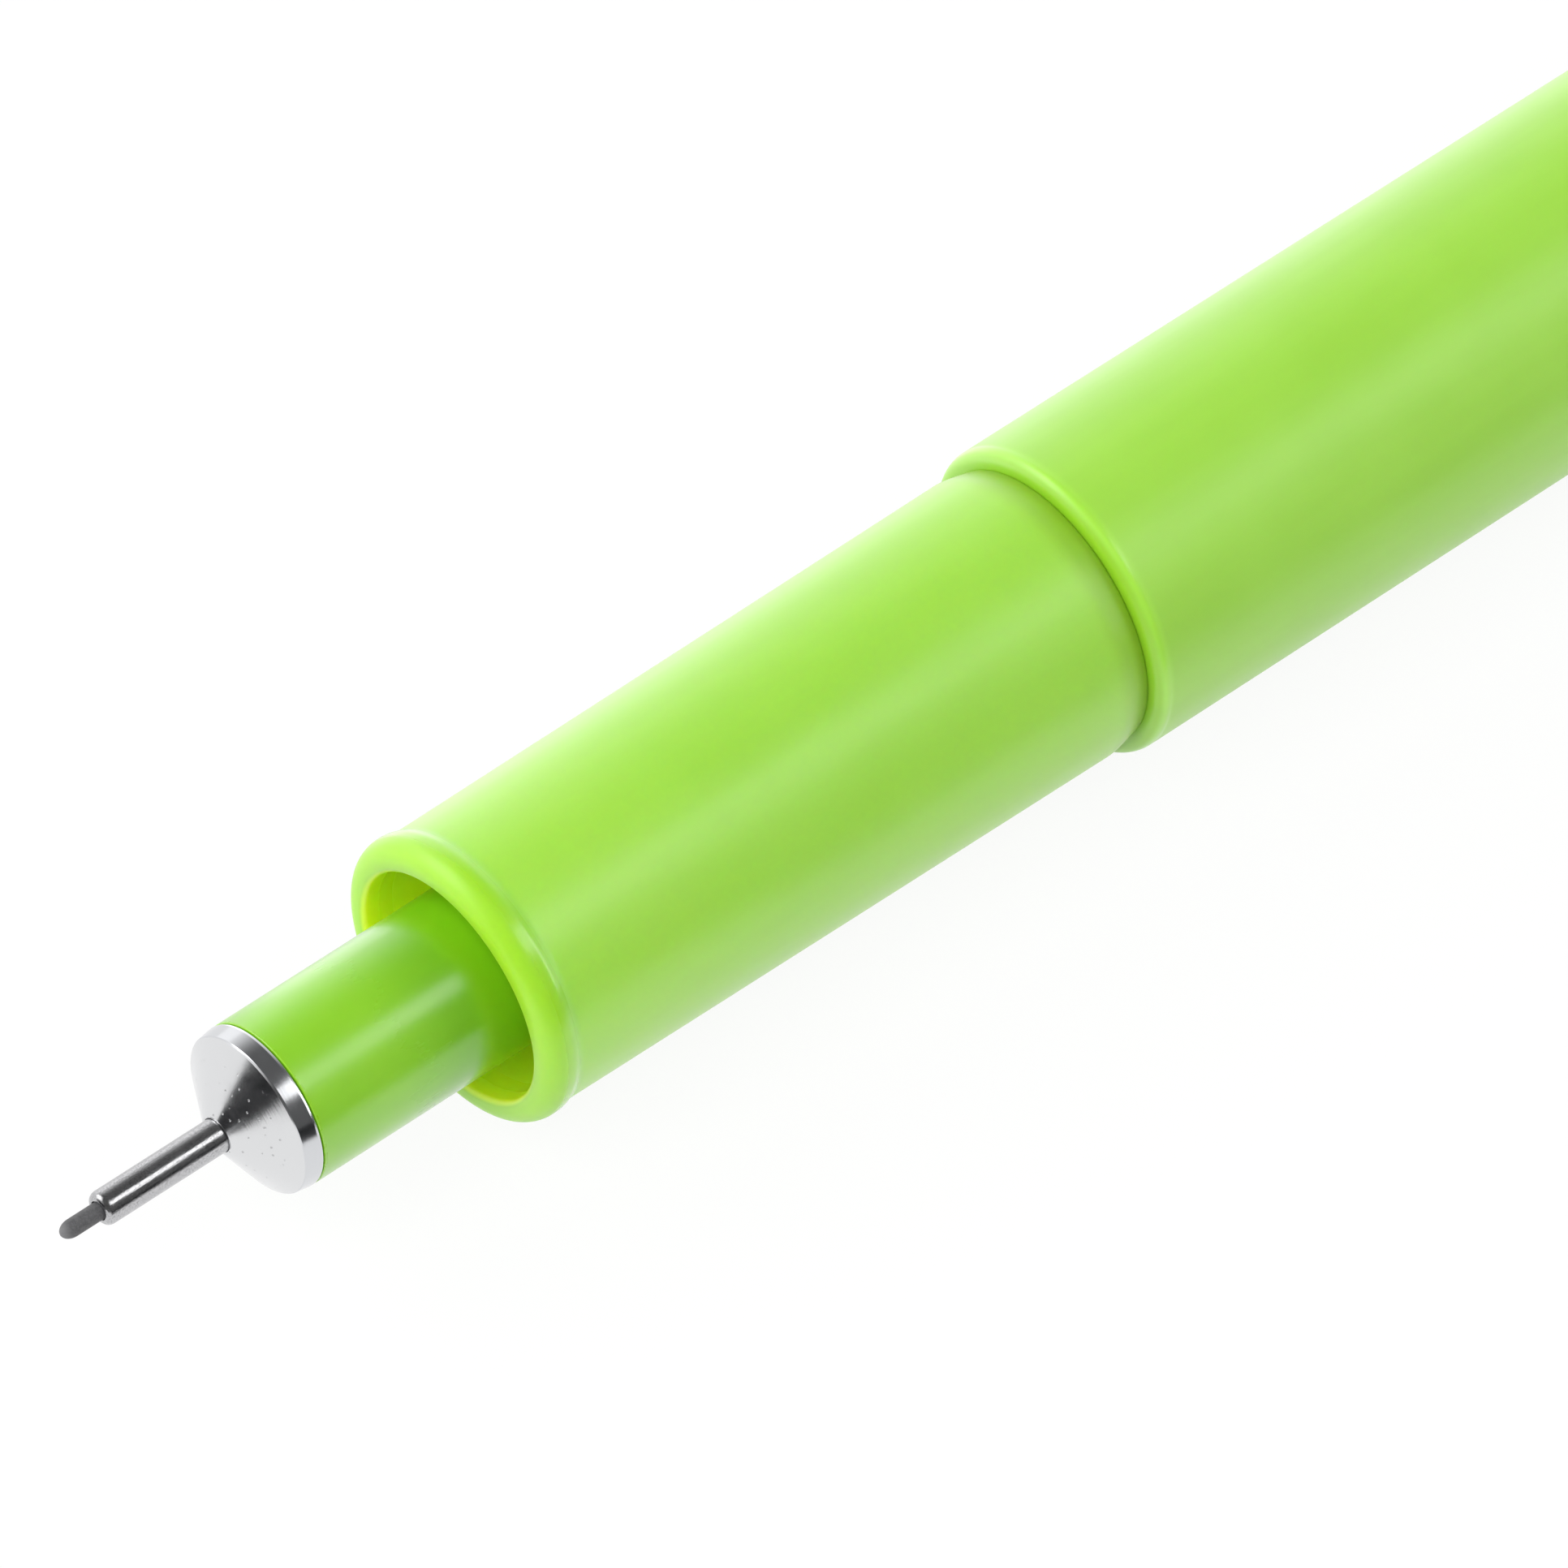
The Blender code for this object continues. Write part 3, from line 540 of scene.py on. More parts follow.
# %% [markdown]
# ## The finishes inside
#
# Inside the pen are a natural white moulding, the white fibre of the wick, the ink-soaked fibre of the
# reservoir and the film round it. They only show when the pen is taken apart. A single colour each would do
# for the picture, but a few nodes of noise, stretched the way the fibres run, keep them real in a cut-away
# view too.

# %% Natural plastic
NATURAL = (0.80, 0.81, 0.79)
NATURAL_PALE = (0.87, 0.88, 0.86)


def natural_fed(finish):
    """What varies on an undyed moulding: a faint cloud and a fine grain."""
    spot = finish.millimetres()
    cloud = finish.noise(spot, 0.6, 3.0)
    grain = finish.noise(spot, 7.0, 2.0)
    return {
        "Base Color": finish.blend(cloud, NATURAL, NATURAL_PALE),
        "Roughness": finish.step(grain, 0.3, 0.7, 0.40, 0.52),
        "Normal": finish.bump(grain * 0.3 + cloud, 0.008 * MM),
    }


MILKY = {"Subsurface Weight": 0.4, "Subsurface Scale": 1 * MM}
natural_plastic = make_finish("natural_plastic", MILKY, natural_fed)


# %% Fibre and film
def fibre_fed(light, dark):
    """What varies on bonded fibre: strands along the pen, from a light to a dark tone."""

    def fed(finish):
        spot = finish.millimetres()
        strands = finish.noise(finish.stretched(spot, (0.5, 9.0, 9.0)), 1.0, 3.0, 0.7)
        blot = finish.noise(spot, 0.5, 2.0)
        return {
            "Base Color": finish.blend(finish.step(strands * 0.6 + blot * 0.4, 0.3, 0.7), dark, light),
            "Roughness": finish.step(strands, 0.2, 0.8, 0.80, 0.95),
            "Normal": finish.bump(strands, 0.06 * MM),
        }

    return fed


white_fibre = make_finish("white_fibre", {}, fibre_fed(light=(0.86, 0.86, 0.84), dark=(0.66, 0.66, 0.64)))
ink_fibre = make_finish("ink_fibre", {}, fibre_fed(light=(0.06, 0.06, 0.07), dark=(0.02, 0.02, 0.024)))
FILM_FOLD = (0.76, 0.80, 0.82)
FILM_FLAT = (0.86, 0.89, 0.90)


def film_fed(finish):
    """What varies on the film: long shallow folds."""
    spot = finish.millimetres()
    folds = finish.noise(finish.stretched(spot, (0.1, 1.5, 1.5)), 1.0, 2.0)
    return {
        "Base Color": finish.blend(folds, FILM_FOLD, FILM_FLAT),
        "Roughness": finish.step(folds, 0.3, 0.7, 0.12, 0.25),
        "Normal": finish.bump(folds, 0.03 * MM),
    }


clear_film = make_finish("clear_film", {"IOR": 1.5}, film_fed)

# %% [markdown]
# ## Turning a piece
#
# On a lathe a piece is its outline spun about the axis, and the same works in mesh code. The CAD has 48
# flats round the axis; at this magnification a mirror-like surface wants more, so each outline is spun in
# 160 steps. A Screw modifier could do it, or bmesh's own spin, but the seam and the points on the axis then
# have to be welded, and after the spin's welding the faces come in another order in each run. Rings that
# are made one by one need no welding, and the mesh is the same every time. Real edges are never sharp:
# rounded() eases every corner that is given a radius, and that thin round is what catches the light.
# Weighted normals keep the long walls straight in the reflections.

# %% Outlines with eased corners
FINE_STEPS = 160
LONGEST_EASE = 0.49


def arc(centre, size, start, end, steps=10):
    """Points (station, radius) on an ellipse: at 0 degrees away from the axis, at 90 degrees to the rear."""
    points = []
    for step in range(steps + 1):
        angle = math.radians(start + (end - start) * step / steps)
        points.append((centre[0] + size[0] * math.sin(angle), centre[1] + size[1] * math.cos(angle)))
    return points


def rounded(outline, closed=True, steps=5):
    """Eases each corner that has a third number, its radius."""
    made = []
    count = len(outline)
    for index, corner in enumerate(outline):
        here = Vector(corner[:2])
        at_end = not closed and index in (0, count - 1)
        if len(corner) < 3 or at_end:
            made.append(tuple(here))
            continue
        before = Vector(outline[index - 1][:2]) - here
        after = Vector(outline[(index + 1) % count][:2]) - here
        half_angle = before.angle(after) / 2
        room = (before.length * LONGEST_EASE, after.length * LONGEST_EASE)
        reach = min(corner[2] / math.tan(half_angle), *room)
        start = here + before.normalized() * reach
        end = here + after.normalized() * reach
        for step in range(steps + 1):
            t = step / steps
            made.append(tuple(start * (1 - t) ** 2 + here * 2 * t * (1 - t) + end * t**2))
    return made


square = [(0, 1, 0.1), (1, 1, 0.1), (1, 2, 0.1), (0, 2, 0.1)]
print("a square with four eased corners has", len(rounded(square)), "points")

# %% Spin an outline into a mesh
ON_AXIS_MM = 0.0002


def spun_ring(shape, station, radius, steps):
    """The points of one ring about the X axis, or the same single point over and over on the axis."""
    if radius < ON_AXIS_MM:
        return [shape.verts.new((station * MM, 0, 0))] * steps
    ring = []
    for step in range(steps):
        angle = math.tau * step / steps
        across, up = -radius * math.sin(angle), radius * math.cos(angle)
        ring.append(shape.verts.new(Vector((station, across, up)) * MM))
    return ring


def spun_mesh(name, outline, closed=True, steps=FINE_STEPS):
    """A mesh spun about its own X axis from (station, radius) points in millimetres."""
    shape = bmesh.new()
    rings = [spun_ring(shape, station, radius, steps) for station, radius in outline]
    pairs = list(zip(rings, rings[1:]))
    if closed:
        pairs.append((rings[-1], rings[0]))
    for first, second in pairs:
        for index in range(steps):
            after = (index + 1) % steps
            corners = (first[index], first[after], second[after], second[index])
            shape.faces.new(dict.fromkeys(corners))
    bmesh.ops.recalc_face_normals(shape, faces=shape.faces)
    mesh = bpy.data.meshes.new(name)
    shape.to_mesh(mesh)
    shape.free()
    return mesh


# %% Shade, place and measure a piece
def finish_mesh(piece, sharp_degrees=35):
    """Shades a piece smooth, keeps its crisp edges and lets its large faces rule the shading."""
    piece.data.shade_smooth()
    piece.data.set_sharp_from_angle(angle=math.radians(sharp_degrees))
    weighted = piece.modifiers.new("weighted normals", "WEIGHTED_NORMAL")
    weighted.keep_sharp = True
    weighted.weight = 80


def place(name, mesh, origin, material, body, node):
    """Puts a piece in the scene in place of a CAD node, and says what it rides on and is finished with."""
    piece = bpy.data.objects.new(name, mesh)
    bpy.context.scene.collection.objects.link(piece)
    piece.location = origin
    piece.data.materials.append(material)
    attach(piece, body)
    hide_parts(node)
    return piece


def compare(piece, node):
    """Prints how far a piece's box is from that of the CAD node it stands for."""
    low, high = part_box(node)
    bpy.context.view_layer.update()
    corners = [piece.matrix_world @ Vector(corner) for corner in piece.bound_box]
    gap = 0.0
    for axis in range(3):
        values = [corner[axis] for corner in corners]
        gap = max(gap, abs(min(values) - low[axis]), abs(max(values) - high[axis]))
    print(f"{piece.name}: {len(piece.data.polygons)} faces, box within {gap / MM:.4f} mm of {node}")


def turn(name, outline, material, node, closed=True):
    """Spins, places, shades and measures one turned piece of the pen."""
    mesh = spun_mesh(name, rounded(outline, closed), closed)
    piece = place(name, mesh, pen_start, material, "pen", node)
    finish_mesh(piece)
    compare(piece, node)


# %% [markdown]
# ## The nib and its needle
#
# The nib is a rod 0.55 mm thick with a bullet end. The steel tube round it is rolled in at the front, so
# that no edge can scratch the paper, and that roll is the bright ring behind the nib. A cylinder with a
# Bevel modifier could make both, but a bevel is a round of one radius. The bullet and the roll are longer
# than they are deep, so both are quarters of an ellipse. In every outline a corner is (mm behind the nib's
# point, mm from the axis), and a third number is the radius of its round.

# %% Nib
NIB_END = 15.43
NIB_RADIUS = 0.275
BULLET = 0.42
nib_outline = [(NIB_END, 0.0), (NIB_END, NIB_RADIUS)]
nib_outline += arc((BULLET, 0.0), (BULLET, NIB_RADIUS), 0, -90, 14)
turn("nib_point", nib_outline, nib_plastic, "nib", closed=False)

# %% Needle
NEEDLE_FRONT = 1.35
NEEDLE_END = 10.45
NEEDLE_BORE = 0.305
NEEDLE_RADIUS = 0.535
ROLL_CENTRE = (1.59, 0.3625)
ROLL_SIZE = (0.24, 0.1725)
needle_outline = [(NEEDLE_END, NEEDLE_BORE), (NEEDLE_END, NEEDLE_RADIUS, 0.04)]
needle_outline += arc(ROLL_CENTRE, ROLL_SIZE, 0, -90, 10)
needle_outline += [(NEEDLE_FRONT, NEEDLE_BORE, 0.02)]
turn("needle", needle_outline, drawn_steel, "needle_tube")

# %% [markdown]
# ## The cone
#
# The cone is turned from bright bar: a straight-sided cone, a small step, and a polished rim. Behind the
# rim is a plug that is pressed into the nose. A bevel over the whole piece would round all its edges alike,
# but in the picture each edge shows its own thin line of light. The outline gives each edge its own round,
# of 0.03 to 0.10 mm, and the rim's rear edge is a narrow chamfer, eased at both its sides, so that it is
# one white line.

# %% Cone and rim
CONE_FRONT = 5.65
CONE_BORE = 0.555
CONE_TIP_RADIUS = 0.625
STEP_RADIUS = 2.50
RIM_RADIUS = 2.62
RIM_REAR = 7.38
PLUG_RADIUS = 1.99
PLUG_REAR = 11.38
cone_outline = [
    (PLUG_REAR, CONE_BORE),
    (PLUG_REAR, PLUG_RADIUS, 0.10),
    (RIM_REAR, PLUG_RADIUS),
    (RIM_REAR, 2.600, 0.03),
    (7.29, RIM_RADIUS, 0.04),
    (6.80, 2.55, 0.05),
    (6.75, STEP_RADIUS, 0.05),
    (CONE_FRONT, CONE_TIP_RADIUS, 0.05),
    (CONE_FRONT, CONE_BORE),
]
turn("metal_cone", cone_outline, turned_metal, "tip_cone")

# %% [markdown]
# ## The nose and the grip section
#
# The nose tube carries the cone and slides back into the grip section, where a collar holds it. The grip
# section is a sleeve with a thick rounded lip. The ring-shaped recess between them is what the cap's inner
# seal enters, so that the ink can't dry. A torus joined to a tube would leave a crease behind the lip.
# Drawn as one outline, the bead flows into the sleeve through a shallow hollow, as the moulding does. The
# lip's inner edge has a round of 0.2 mm, and behind it the wall narrows a little towards the bottom of the
# recess, so that a mould core can leave.

# %% Nose tube
NOSE_FRONT = 7.43
NOSE_REAR = 29.10
NOSE_BORE = 2.02
NOSE_RADIUS = 2.62
COLLAR_FRONT = 22.10
COLLAR_REAR = 24.10
COLLAR_RADIUS = 3.25
nose_outline = [
    (NOSE_REAR, NOSE_BORE),
    (NOSE_REAR, NOSE_RADIUS, 0.10),
    (COLLAR_REAR, NOSE_RADIUS, 0.05),
    (COLLAR_REAR, COLLAR_RADIUS, 0.10),
    (COLLAR_FRONT, COLLAR_RADIUS, 0.10),
    (COLLAR_FRONT, NOSE_RADIUS, 0.05),
    (NOSE_FRONT, NOSE_RADIUS, 0.05),
    (NOSE_FRONT, NOSE_BORE),
]
turn("nose", nose_outline, polished_lime, "nose_tube")

# %% Grip section
SPIGOT_REAR = 46.05
SPIGOT_BORE = 3.30
SPIGOT_RADIUS = 4.05
SLEEVE_REAR = 36.58
BEAD_CENTRE = (14.72, 4.02)
BEAD_SIZE = (0.67, 0.59)
MOUTH_CENTRE = (14.25, 3.90)
MOUTH_SIZE = (0.20, 0.20)
RECESS_BOTTOM = 20.55
WEB_REAR = 22.05
WEB_BORE = 2.67
grip_outline = [
    (SPIGOT_REAR, SPIGOT_BORE),
    (SPIGOT_REAR, 3.75, 0.05),
    (45.75, SPIGOT_RADIUS, 0.05),
    (SLEEVE_REAR, SPIGOT_RADIUS, 0.05),
    (SLEEVE_REAR, 4.463, 0.04),
    (35.75, 4.632, 1.84),
    (15.29, 4.493, 0.60),
    (14.93, 4.610, 1.10),
]
grip_outline += arc(BEAD_CENTRE, BEAD_SIZE, 0, -90, 16)
grip_outline += arc(MOUTH_CENTRE, MOUTH_SIZE, -90, -180, 8)
grip_outline += [
    (RECESS_BOTTOM, 3.64, 0.20),
    (RECESS_BOTTOM, WEB_BORE),
    (WEB_REAR, WEB_BORE),
    (WEB_REAR, SPIGOT_BORE),
]
turn("grip", grip_outline, lime_grip, "grip_section")

# %% [markdown]
# ## The barrel and its end plug
#
# The barrel is a plain tube whose front edge stands proud of the grip as a rounded rim. Its rear is closed
# by a plug that ends in a post, which holds the cap while one writes. Both could be left short where
# another piece hides them, but the cap slides off the post in another pose, and then its bare outside and
# its edge show. So both are turned whole.

# %% Barrel
BARREL_FRONT = 36.60
BARREL_REAR = 120.10
BARREL_BORE = 4.10
BARREL_RADIUS = 5.00
RIM_CENTRE = (36.98, 4.62)
RIM_SIZE = (0.38, 0.38)
barrel_outline = [(BARREL_REAR, BARREL_BORE), (BARREL_REAR, BARREL_RADIUS, 0.25)]
barrel_outline += arc(RIM_CENTRE, RIM_SIZE, 0, -90, 10)
barrel_outline += [(BARREL_FRONT, BARREL_BORE)]
turn("barrel", barrel_outline, lime_plastic, "barrel_tube")

# %% End plug
POST_REAR = 132.20
POST_RADIUS = 4.60
SHOULDER = 120.15
PLUG_OUTER = 4.05
PLUG_BORE = 3.30
POST_BORE = 3.00
plug_outline = [
    (POST_REAR, 0.0),
    (POST_REAR, POST_RADIUS, 0.60),
    (SHOULDER, POST_RADIUS),
    (SHOULDER, PLUG_OUTER),
    (108.40, PLUG_OUTER),
    (108.10, 3.75),
    (108.10, PLUG_BORE),
    (112.10, PLUG_BORE),
    (112.10, POST_BORE),
    (130.20, POST_BORE),
    (130.20, 0.0),
]
turn("plug_and_post", plug_outline, lime_plastic, "end_plug", closed=False)

# %% [markdown]
# ## The cap
#
# The cap is three pieces: a shell that narrows a little towards its end, a crown pressed into it, and a
# clip whose foot sits in a slot. The crown has three air holes, so that one can still breathe if the cap is
# swallowed. The holes and the slot could be left out of the mesh and painted dark, but then one couldn't
# look through them. A Boolean cuts them, and a cutter that flares at its top gives each hole an eased rim.

# %% Cut with a cutter and throw it away
def cut(piece, cutter_mesh, origin):
    """Subtracts a mesh from a piece for good."""
    cutter = bpy.data.objects.new("cutter", cutter_mesh)
    bpy.context.scene.collection.objects.link(cutter)
    cutter.location = origin
    boolean = piece.modifiers.new("cut", "BOOLEAN")
    boolean.operation = "DIFFERENCE"
    boolean.solver = "EXACT"
    boolean.object = cutter
    bpy.context.view_layer.update()
    result = bpy.data.meshes.new_from_object(piece.evaluated_get(bpy.context.evaluated_depsgraph_get()))
    piece.modifiers.remove(boolean)
    piece.data = result
    bpy.data.objects.remove(cutter)
    print(f"cut {piece.name}: {len(result.polygons)} faces")


def box_mesh(size, centre):
    """A plain box in millimetres, for cutting, for the clip's foot and for cards."""
    shape = bmesh.new()
    bmesh.ops.create_cube(shape, size=1.0)
    bmesh.ops.scale(shape, vec=Vector(size) * MM, verts=shape.verts)
    bmesh.ops.translate(shape, vec=Vector(centre) * MM, verts=shape.verts)
    mesh = bpy.data.meshes.new("box")
    shape.to_mesh(mesh)
    shape.free()
    return mesh


def cap_piece(name, outline, node, closed=True):
    """Spins one of the cap's turned pieces, with its origin at the cap's mouth."""
    mesh = spun_mesh(name, rounded(outline, closed), closed)
    return place(name, mesh, cap_start, lime_cap, "cap", node)


# %% The clip's direction
clip_joint = next(joint for joint in frame["joints"] if joint["name"] == "clip_flex")
clip_out = (Vector(clip_joint["pos_m"]) - pen_start) * Vector((0, 1, 1))
clip_out.normalize()
clip_side = clip_out.cross(Vector((1, 0, 0)))
clip_turn = Matrix((Vector((1, 0, 0)), clip_side, clip_out)).transposed()
hinge_station = (clip_joint["pos_m"][0] - cap_start.x) / MM
print("the clip points to", [round(x, 3) for x in clip_out])
print("and hinges at", round(hinge_station, 2), "mm from the cap's mouth")

# %% Cap shell
SHELL_REAR = 42.25
SHELL_BORE = 4.75
SNAP_BORE = 4.65
SEAL_SEAT = (37.20, 38.15)
SEAT_BORE = 4.20
SLOT_SIZE = (1.9, 3.9, 2.6)
SLOT_HEIGHT = 5.075
shell_outline = [
    (SHELL_REAR, SHELL_BORE, 0.10),
    (SHELL_REAR, 5.20, 0.12),
    (0.00, 5.40, 0.20),
    (0.00, SHELL_BORE, 0.15),
    (2.00, SHELL_BORE),
    (2.40, SNAP_BORE, 0.10),
    (2.80, SNAP_BORE, 0.10),
    (3.20, SHELL_BORE),
    (SEAL_SEAT[0], SHELL_BORE),
    (SEAL_SEAT[0], SEAT_BORE, 0.10),
    (SEAL_SEAT[1], SEAT_BORE, 0.10),
    (SEAL_SEAT[1], SHELL_BORE),
]
shell = cap_piece("cap_tube", shell_outline, "cap_shell")
slot_cutter = box_mesh(SLOT_SIZE, (hinge_station, 0, SLOT_HEIGHT))
slot_cutter.transform(clip_turn.to_4x4())
cut(shell, slot_cutter, cap_start)
finish_mesh(shell)
compare(shell, "cap_shell")

# %% Cap crown
CROWN_TOP = 43.90
CROWN_PLUG = 4.70
CROWN_BORE = 3.70
VENT_COUNT = 3
VENT_CIRCLE = 2.40
VENT_RADIUS = 0.60
VENT_FLARE = 0.76
VENT_STEPS = 48
crown_outline = [(CROWN_TOP, 0.0)] + arc((43.00, 4.30), (0.90, 0.90), 90, 0, 12)
crown_outline += [
    (42.30, 5.20, 0.05),
    (42.30, CROWN_PLUG),
    (39.25, CROWN_PLUG, 0.10),
    (39.25, CROWN_BORE),
    (42.30, CROWN_BORE),
    (42.30, 0.0),
]
crown = cap_piece("cap_end", crown_outline, "cap_crown", closed=False)
vent_outline = [
    (50.0, 0.0),
    (50.0, VENT_FLARE),
    (43.93, VENT_FLARE),
    (43.72, VENT_RADIUS, 0.1),
    (41.0, VENT_RADIUS),
    (41.0, 0.0),
]
for index in range(VENT_COUNT):
    vent = spun_mesh("vent", rounded(vent_outline, False), False, VENT_STEPS)
    vent.transform(Matrix.Translation(clip_out * VENT_CIRCLE * MM))
    vent.transform(Matrix.Rotation(math.tau * index / VENT_COUNT, 4, "X"))
    cut(crown, vent, cap_start)
finish_mesh(crown)
compare(crown, "cap_crown")

# %% [markdown]
# ## The pocket clip
#
# The clip is a springy arm, moulded in one with its root. The root is a tall block, the arm is thin and
# slightly crowned, the nub is a half-round under its free end, and the tip rounds off. It could be modelled
# as a box and smoothed with a subdivision surface, but that pulls the nub and the root out of their
# measures. So it is lofted: a rounded rectangle is carried along it, and at each place two numbers say how
# far the top and the underside stand from the cap's axis.

# %% The clip's side view
CLIP_TOP = 8.00
CLIP_UNDER = 6.60
CLIP_SEAT = 5.382
CLIP_ENDS = (-1.00, 29.00)
END_ROUND = 0.70
END_HEIGHT = 7.30
HOLLOW_ROUND = 0.60
NUB_AT = 26.35
NUB_RADIUS = 1.05
TIP_AT = 28.30


def swing(start, end, step):
    """The sine and cosine of each angle from start up to, but not including, end, in degrees."""
    angles = [math.radians(angle) for angle in range(start, end, step)]
    return [(math.sin(angle), math.cos(angle)) for angle in angles]


def clip_sections():
    """(forward, underside, top) along the clip: forward is towards the cap's mouth, heights from its axis."""
    made = [(CLIP_ENDS[0], 5.46, 7.20)]
    for sine, cosine in swing(-90, 1, 10):
        made.append((-0.30 + END_ROUND * sine, CLIP_SEAT, END_HEIGHT + END_ROUND * cosine))
    made += [(forward, CLIP_SEAT, CLIP_TOP) for forward in (0.5, 1.3, 2.14)]
    made.append((2.20, CLIP_SEAT + 0.06, CLIP_TOP))
    for sine, cosine in swing(-90, 1, 15):
        made.append((2.80 + HOLLOW_ROUND * sine, 6.00 + HOLLOW_ROUND * cosine, CLIP_TOP))
    made += [(forward, CLIP_UNDER, CLIP_TOP) for forward in (4.0, 8.0, 12.0, 16.0, 20.0, 24.0, 25.2)]
    for sine, cosine in swing(-90, 91, 10):
        made.append((NUB_AT + NUB_RADIUS * sine, CLIP_UNDER - NUB_RADIUS * cosine, CLIP_TOP))
    made.append((27.6, CLIP_UNDER, CLIP_TOP))
    for sine, cosine in swing(0, 86, 8):
        half = END_ROUND * cosine
        made.append((TIP_AT + END_ROUND * sine, END_HEIGHT - half, END_HEIGHT + half))
    made.append((CLIP_ENDS[1], 7.28, 7.32))
    return made


print("the clip is lofted through", len(clip_sections()), "sections")


# %% One section of the clip
def section_ring(half_width, low, high, round_size=0.30, crown_drop=0.14):
    """A rounded rectangle as (side, height) points, with its top a little crowned."""
    size = min(round_size, half_width * 0.9, (high - low) * 0.49)
    centres = [
        (half_width - size, high - size, 0),
        (size - half_width, high - size, 90),
        (size - half_width, low + size, 180),
        (half_width - size, low + size, 270),
    ]
    ring = []
    for side, height, start in centres:
        for step in range(7):
            a = math.radians(start + step * 15)
            ring.append((side + size * math.cos(a), height + size * math.sin(a)))
        if start in (0, 180):
            ring += [(side * (1 - 2 * t), ring[-1][1]) for t in (0.25, 0.5, 0.75)]
    middle = (low + high) / 2
    drop = min(crown_drop, (high - low) * 0.2)
    return [(y, z - drop * (y / half_width) ** 2 * (z > middle)) for y, z in ring]


print("a section has", len(section_ring(1.8, CLIP_UNDER, CLIP_TOP)), "points")

# %% Loft the clip
ROOT_HALF_WIDTH = 1.80
ARM_TAPER = 0.40
FOOT_SIZE = (1.60, 3.55)
FOOT_LOW = 4.10
FOOT_HIGH = CLIP_SEAT + 0.3


def clip_mesh():
    """The lofted arm with its root, and the foot that sits in the shell's slot."""
    shape = bmesh.new()
    loops = []
    for forward, low, high in clip_sections():
        along = (forward - CLIP_ENDS[0]) / (CLIP_ENDS[1] - CLIP_ENDS[0])
        half_width = ROOT_HALF_WIDTH - ARM_TAPER * along
        if forward > TIP_AT:
            half_width *= 1 - 0.35 * ((forward - TIP_AT) / END_ROUND) ** 3
        ring = section_ring(half_width, low, high)
        loops.append([shape.verts.new((-forward * MM, y * MM, z * MM)) for y, z in ring])
    for first, second in zip(loops, loops[1:]):
        for index in range(len(first)):
            after = (index + 1) % len(first)
            shape.faces.new((first[index], first[after], second[after], second[index]))
    shape.faces.new(loops[0])
    shape.faces.new(reversed(loops[-1]))
    foot = box_mesh((*FOOT_SIZE, FOOT_HIGH - FOOT_LOW), (0, 0, (FOOT_HIGH + FOOT_LOW) / 2))
    shape.from_mesh(foot)
    bmesh.ops.recalc_face_normals(shape, faces=shape.faces)
    mesh = bpy.data.meshes.new("clip")
    shape.to_mesh(mesh)
    shape.free()
    mesh.transform(clip_turn.to_4x4())
    return mesh


clip_origin = cap_start + Vector((hinge_station * MM, 0, 0))
clip = place("pocket_clip", clip_mesh(), clip_origin, lime_cap, "clip", "cap_clip")
finish_mesh(clip, 50)
compare(clip, "cap_clip")

# %% [markdown]
# ## Kept pieces
#
# The sleeve, wick, reservoir, wrap and inner seal are inside, where hardly anything of them shows. They
# could be turned again like the rest, but nobody would see the difference, so they keep their CAD shape and
# only take their finishes.

# %% Finishes for the kept nodes
KEPT = {
    "nib_sleeve": natural_plastic,
    "feed_wick": white_fibre,
    "ink_reservoir": ink_fibre,
    "reservoir_wrap": clear_film,
    "cap_inner_seal": natural_plastic,
}
for name, material in KEPT.items():
    frame["nodes"][name].material_slots[0].material = material
print("kept:", ", ".join(KEPT))

# %% [markdown]
# ## Floor and background
#
# The picture's background is blown out to pure white. More light on a white floor would do that too, but it
# would bleach the pen as well. Here the floor is a plain white disc that shines white to the camera and to
# reflections only. To the camera it does so a little less near the pen, where the rest is real lit paper,
# so the pen keeps a pale shadow. The world is white to the camera as well. What reflections see of it is a
# studio: a white sweep behind the pen and a dim room elsewhere, because metal looks like metal only when it
# has dark things to mirror.

# %% Floor
FLOOR_RADIUS = 4.0
floor_shape = bmesh.new()
bmesh.ops.create_circle(floor_shape, cap_ends=True, segments=96, radius=FLOOR_RADIUS)
floor_mesh = bpy.data.meshes.new("floor")
floor_shape.to_mesh(floor_mesh)
floor_shape.free()
floor = bpy.data.objects.new("floor", floor_mesh)
floor.location = (0, 0, -0.01 * MM)
bpy.context.scene.collection.objects.link(floor)
floor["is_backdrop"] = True
print(f"floor: a disc {2 * FLOOR_RADIUS} m across")

# %% What the floor shows
FLOOR_GREY = (0.90, 0.90, 0.90)
WHITE = (1.0, 1.0, 1.0)
WHITENED = (0.15, 0.60, 0.92, 1.0)
floor_material = bpy.data.materials.new("white_floor")
floor_material.use_nodes = True
ground = Finish(floor_material.node_tree)
paper = ground.node("ShaderNodeBsdfDiffuse", None, {"Color": FLOOR_GREY})
seen = ground.node("ShaderNodeLightPath", output="Is Camera Ray")
ground_x, ground_y = ground.parts_of(ground.node("ShaderNodeTexCoord", output="Object"))[:2]
far = ground.step(distance_from_axis(ground_x, ground_y), *WHITENED)
mirrored = ground.node("ShaderNodeLightPath", output="Is Glossy Ray")
glow = ground.node("ShaderNodeEmission", None, {"Color": WHITE, "Strength": 1.0})
mixed = ground.node("ShaderNodeMixShader", None, {0: seen * far + mirrored, 1: paper, 2: glow})
ground.node("ShaderNodeOutputMaterial", None, {"Surface": mixed}, output=None)
floor_mesh.materials.append(floor_material)
print(f"floor: {len(ground.tree.nodes)} nodes")

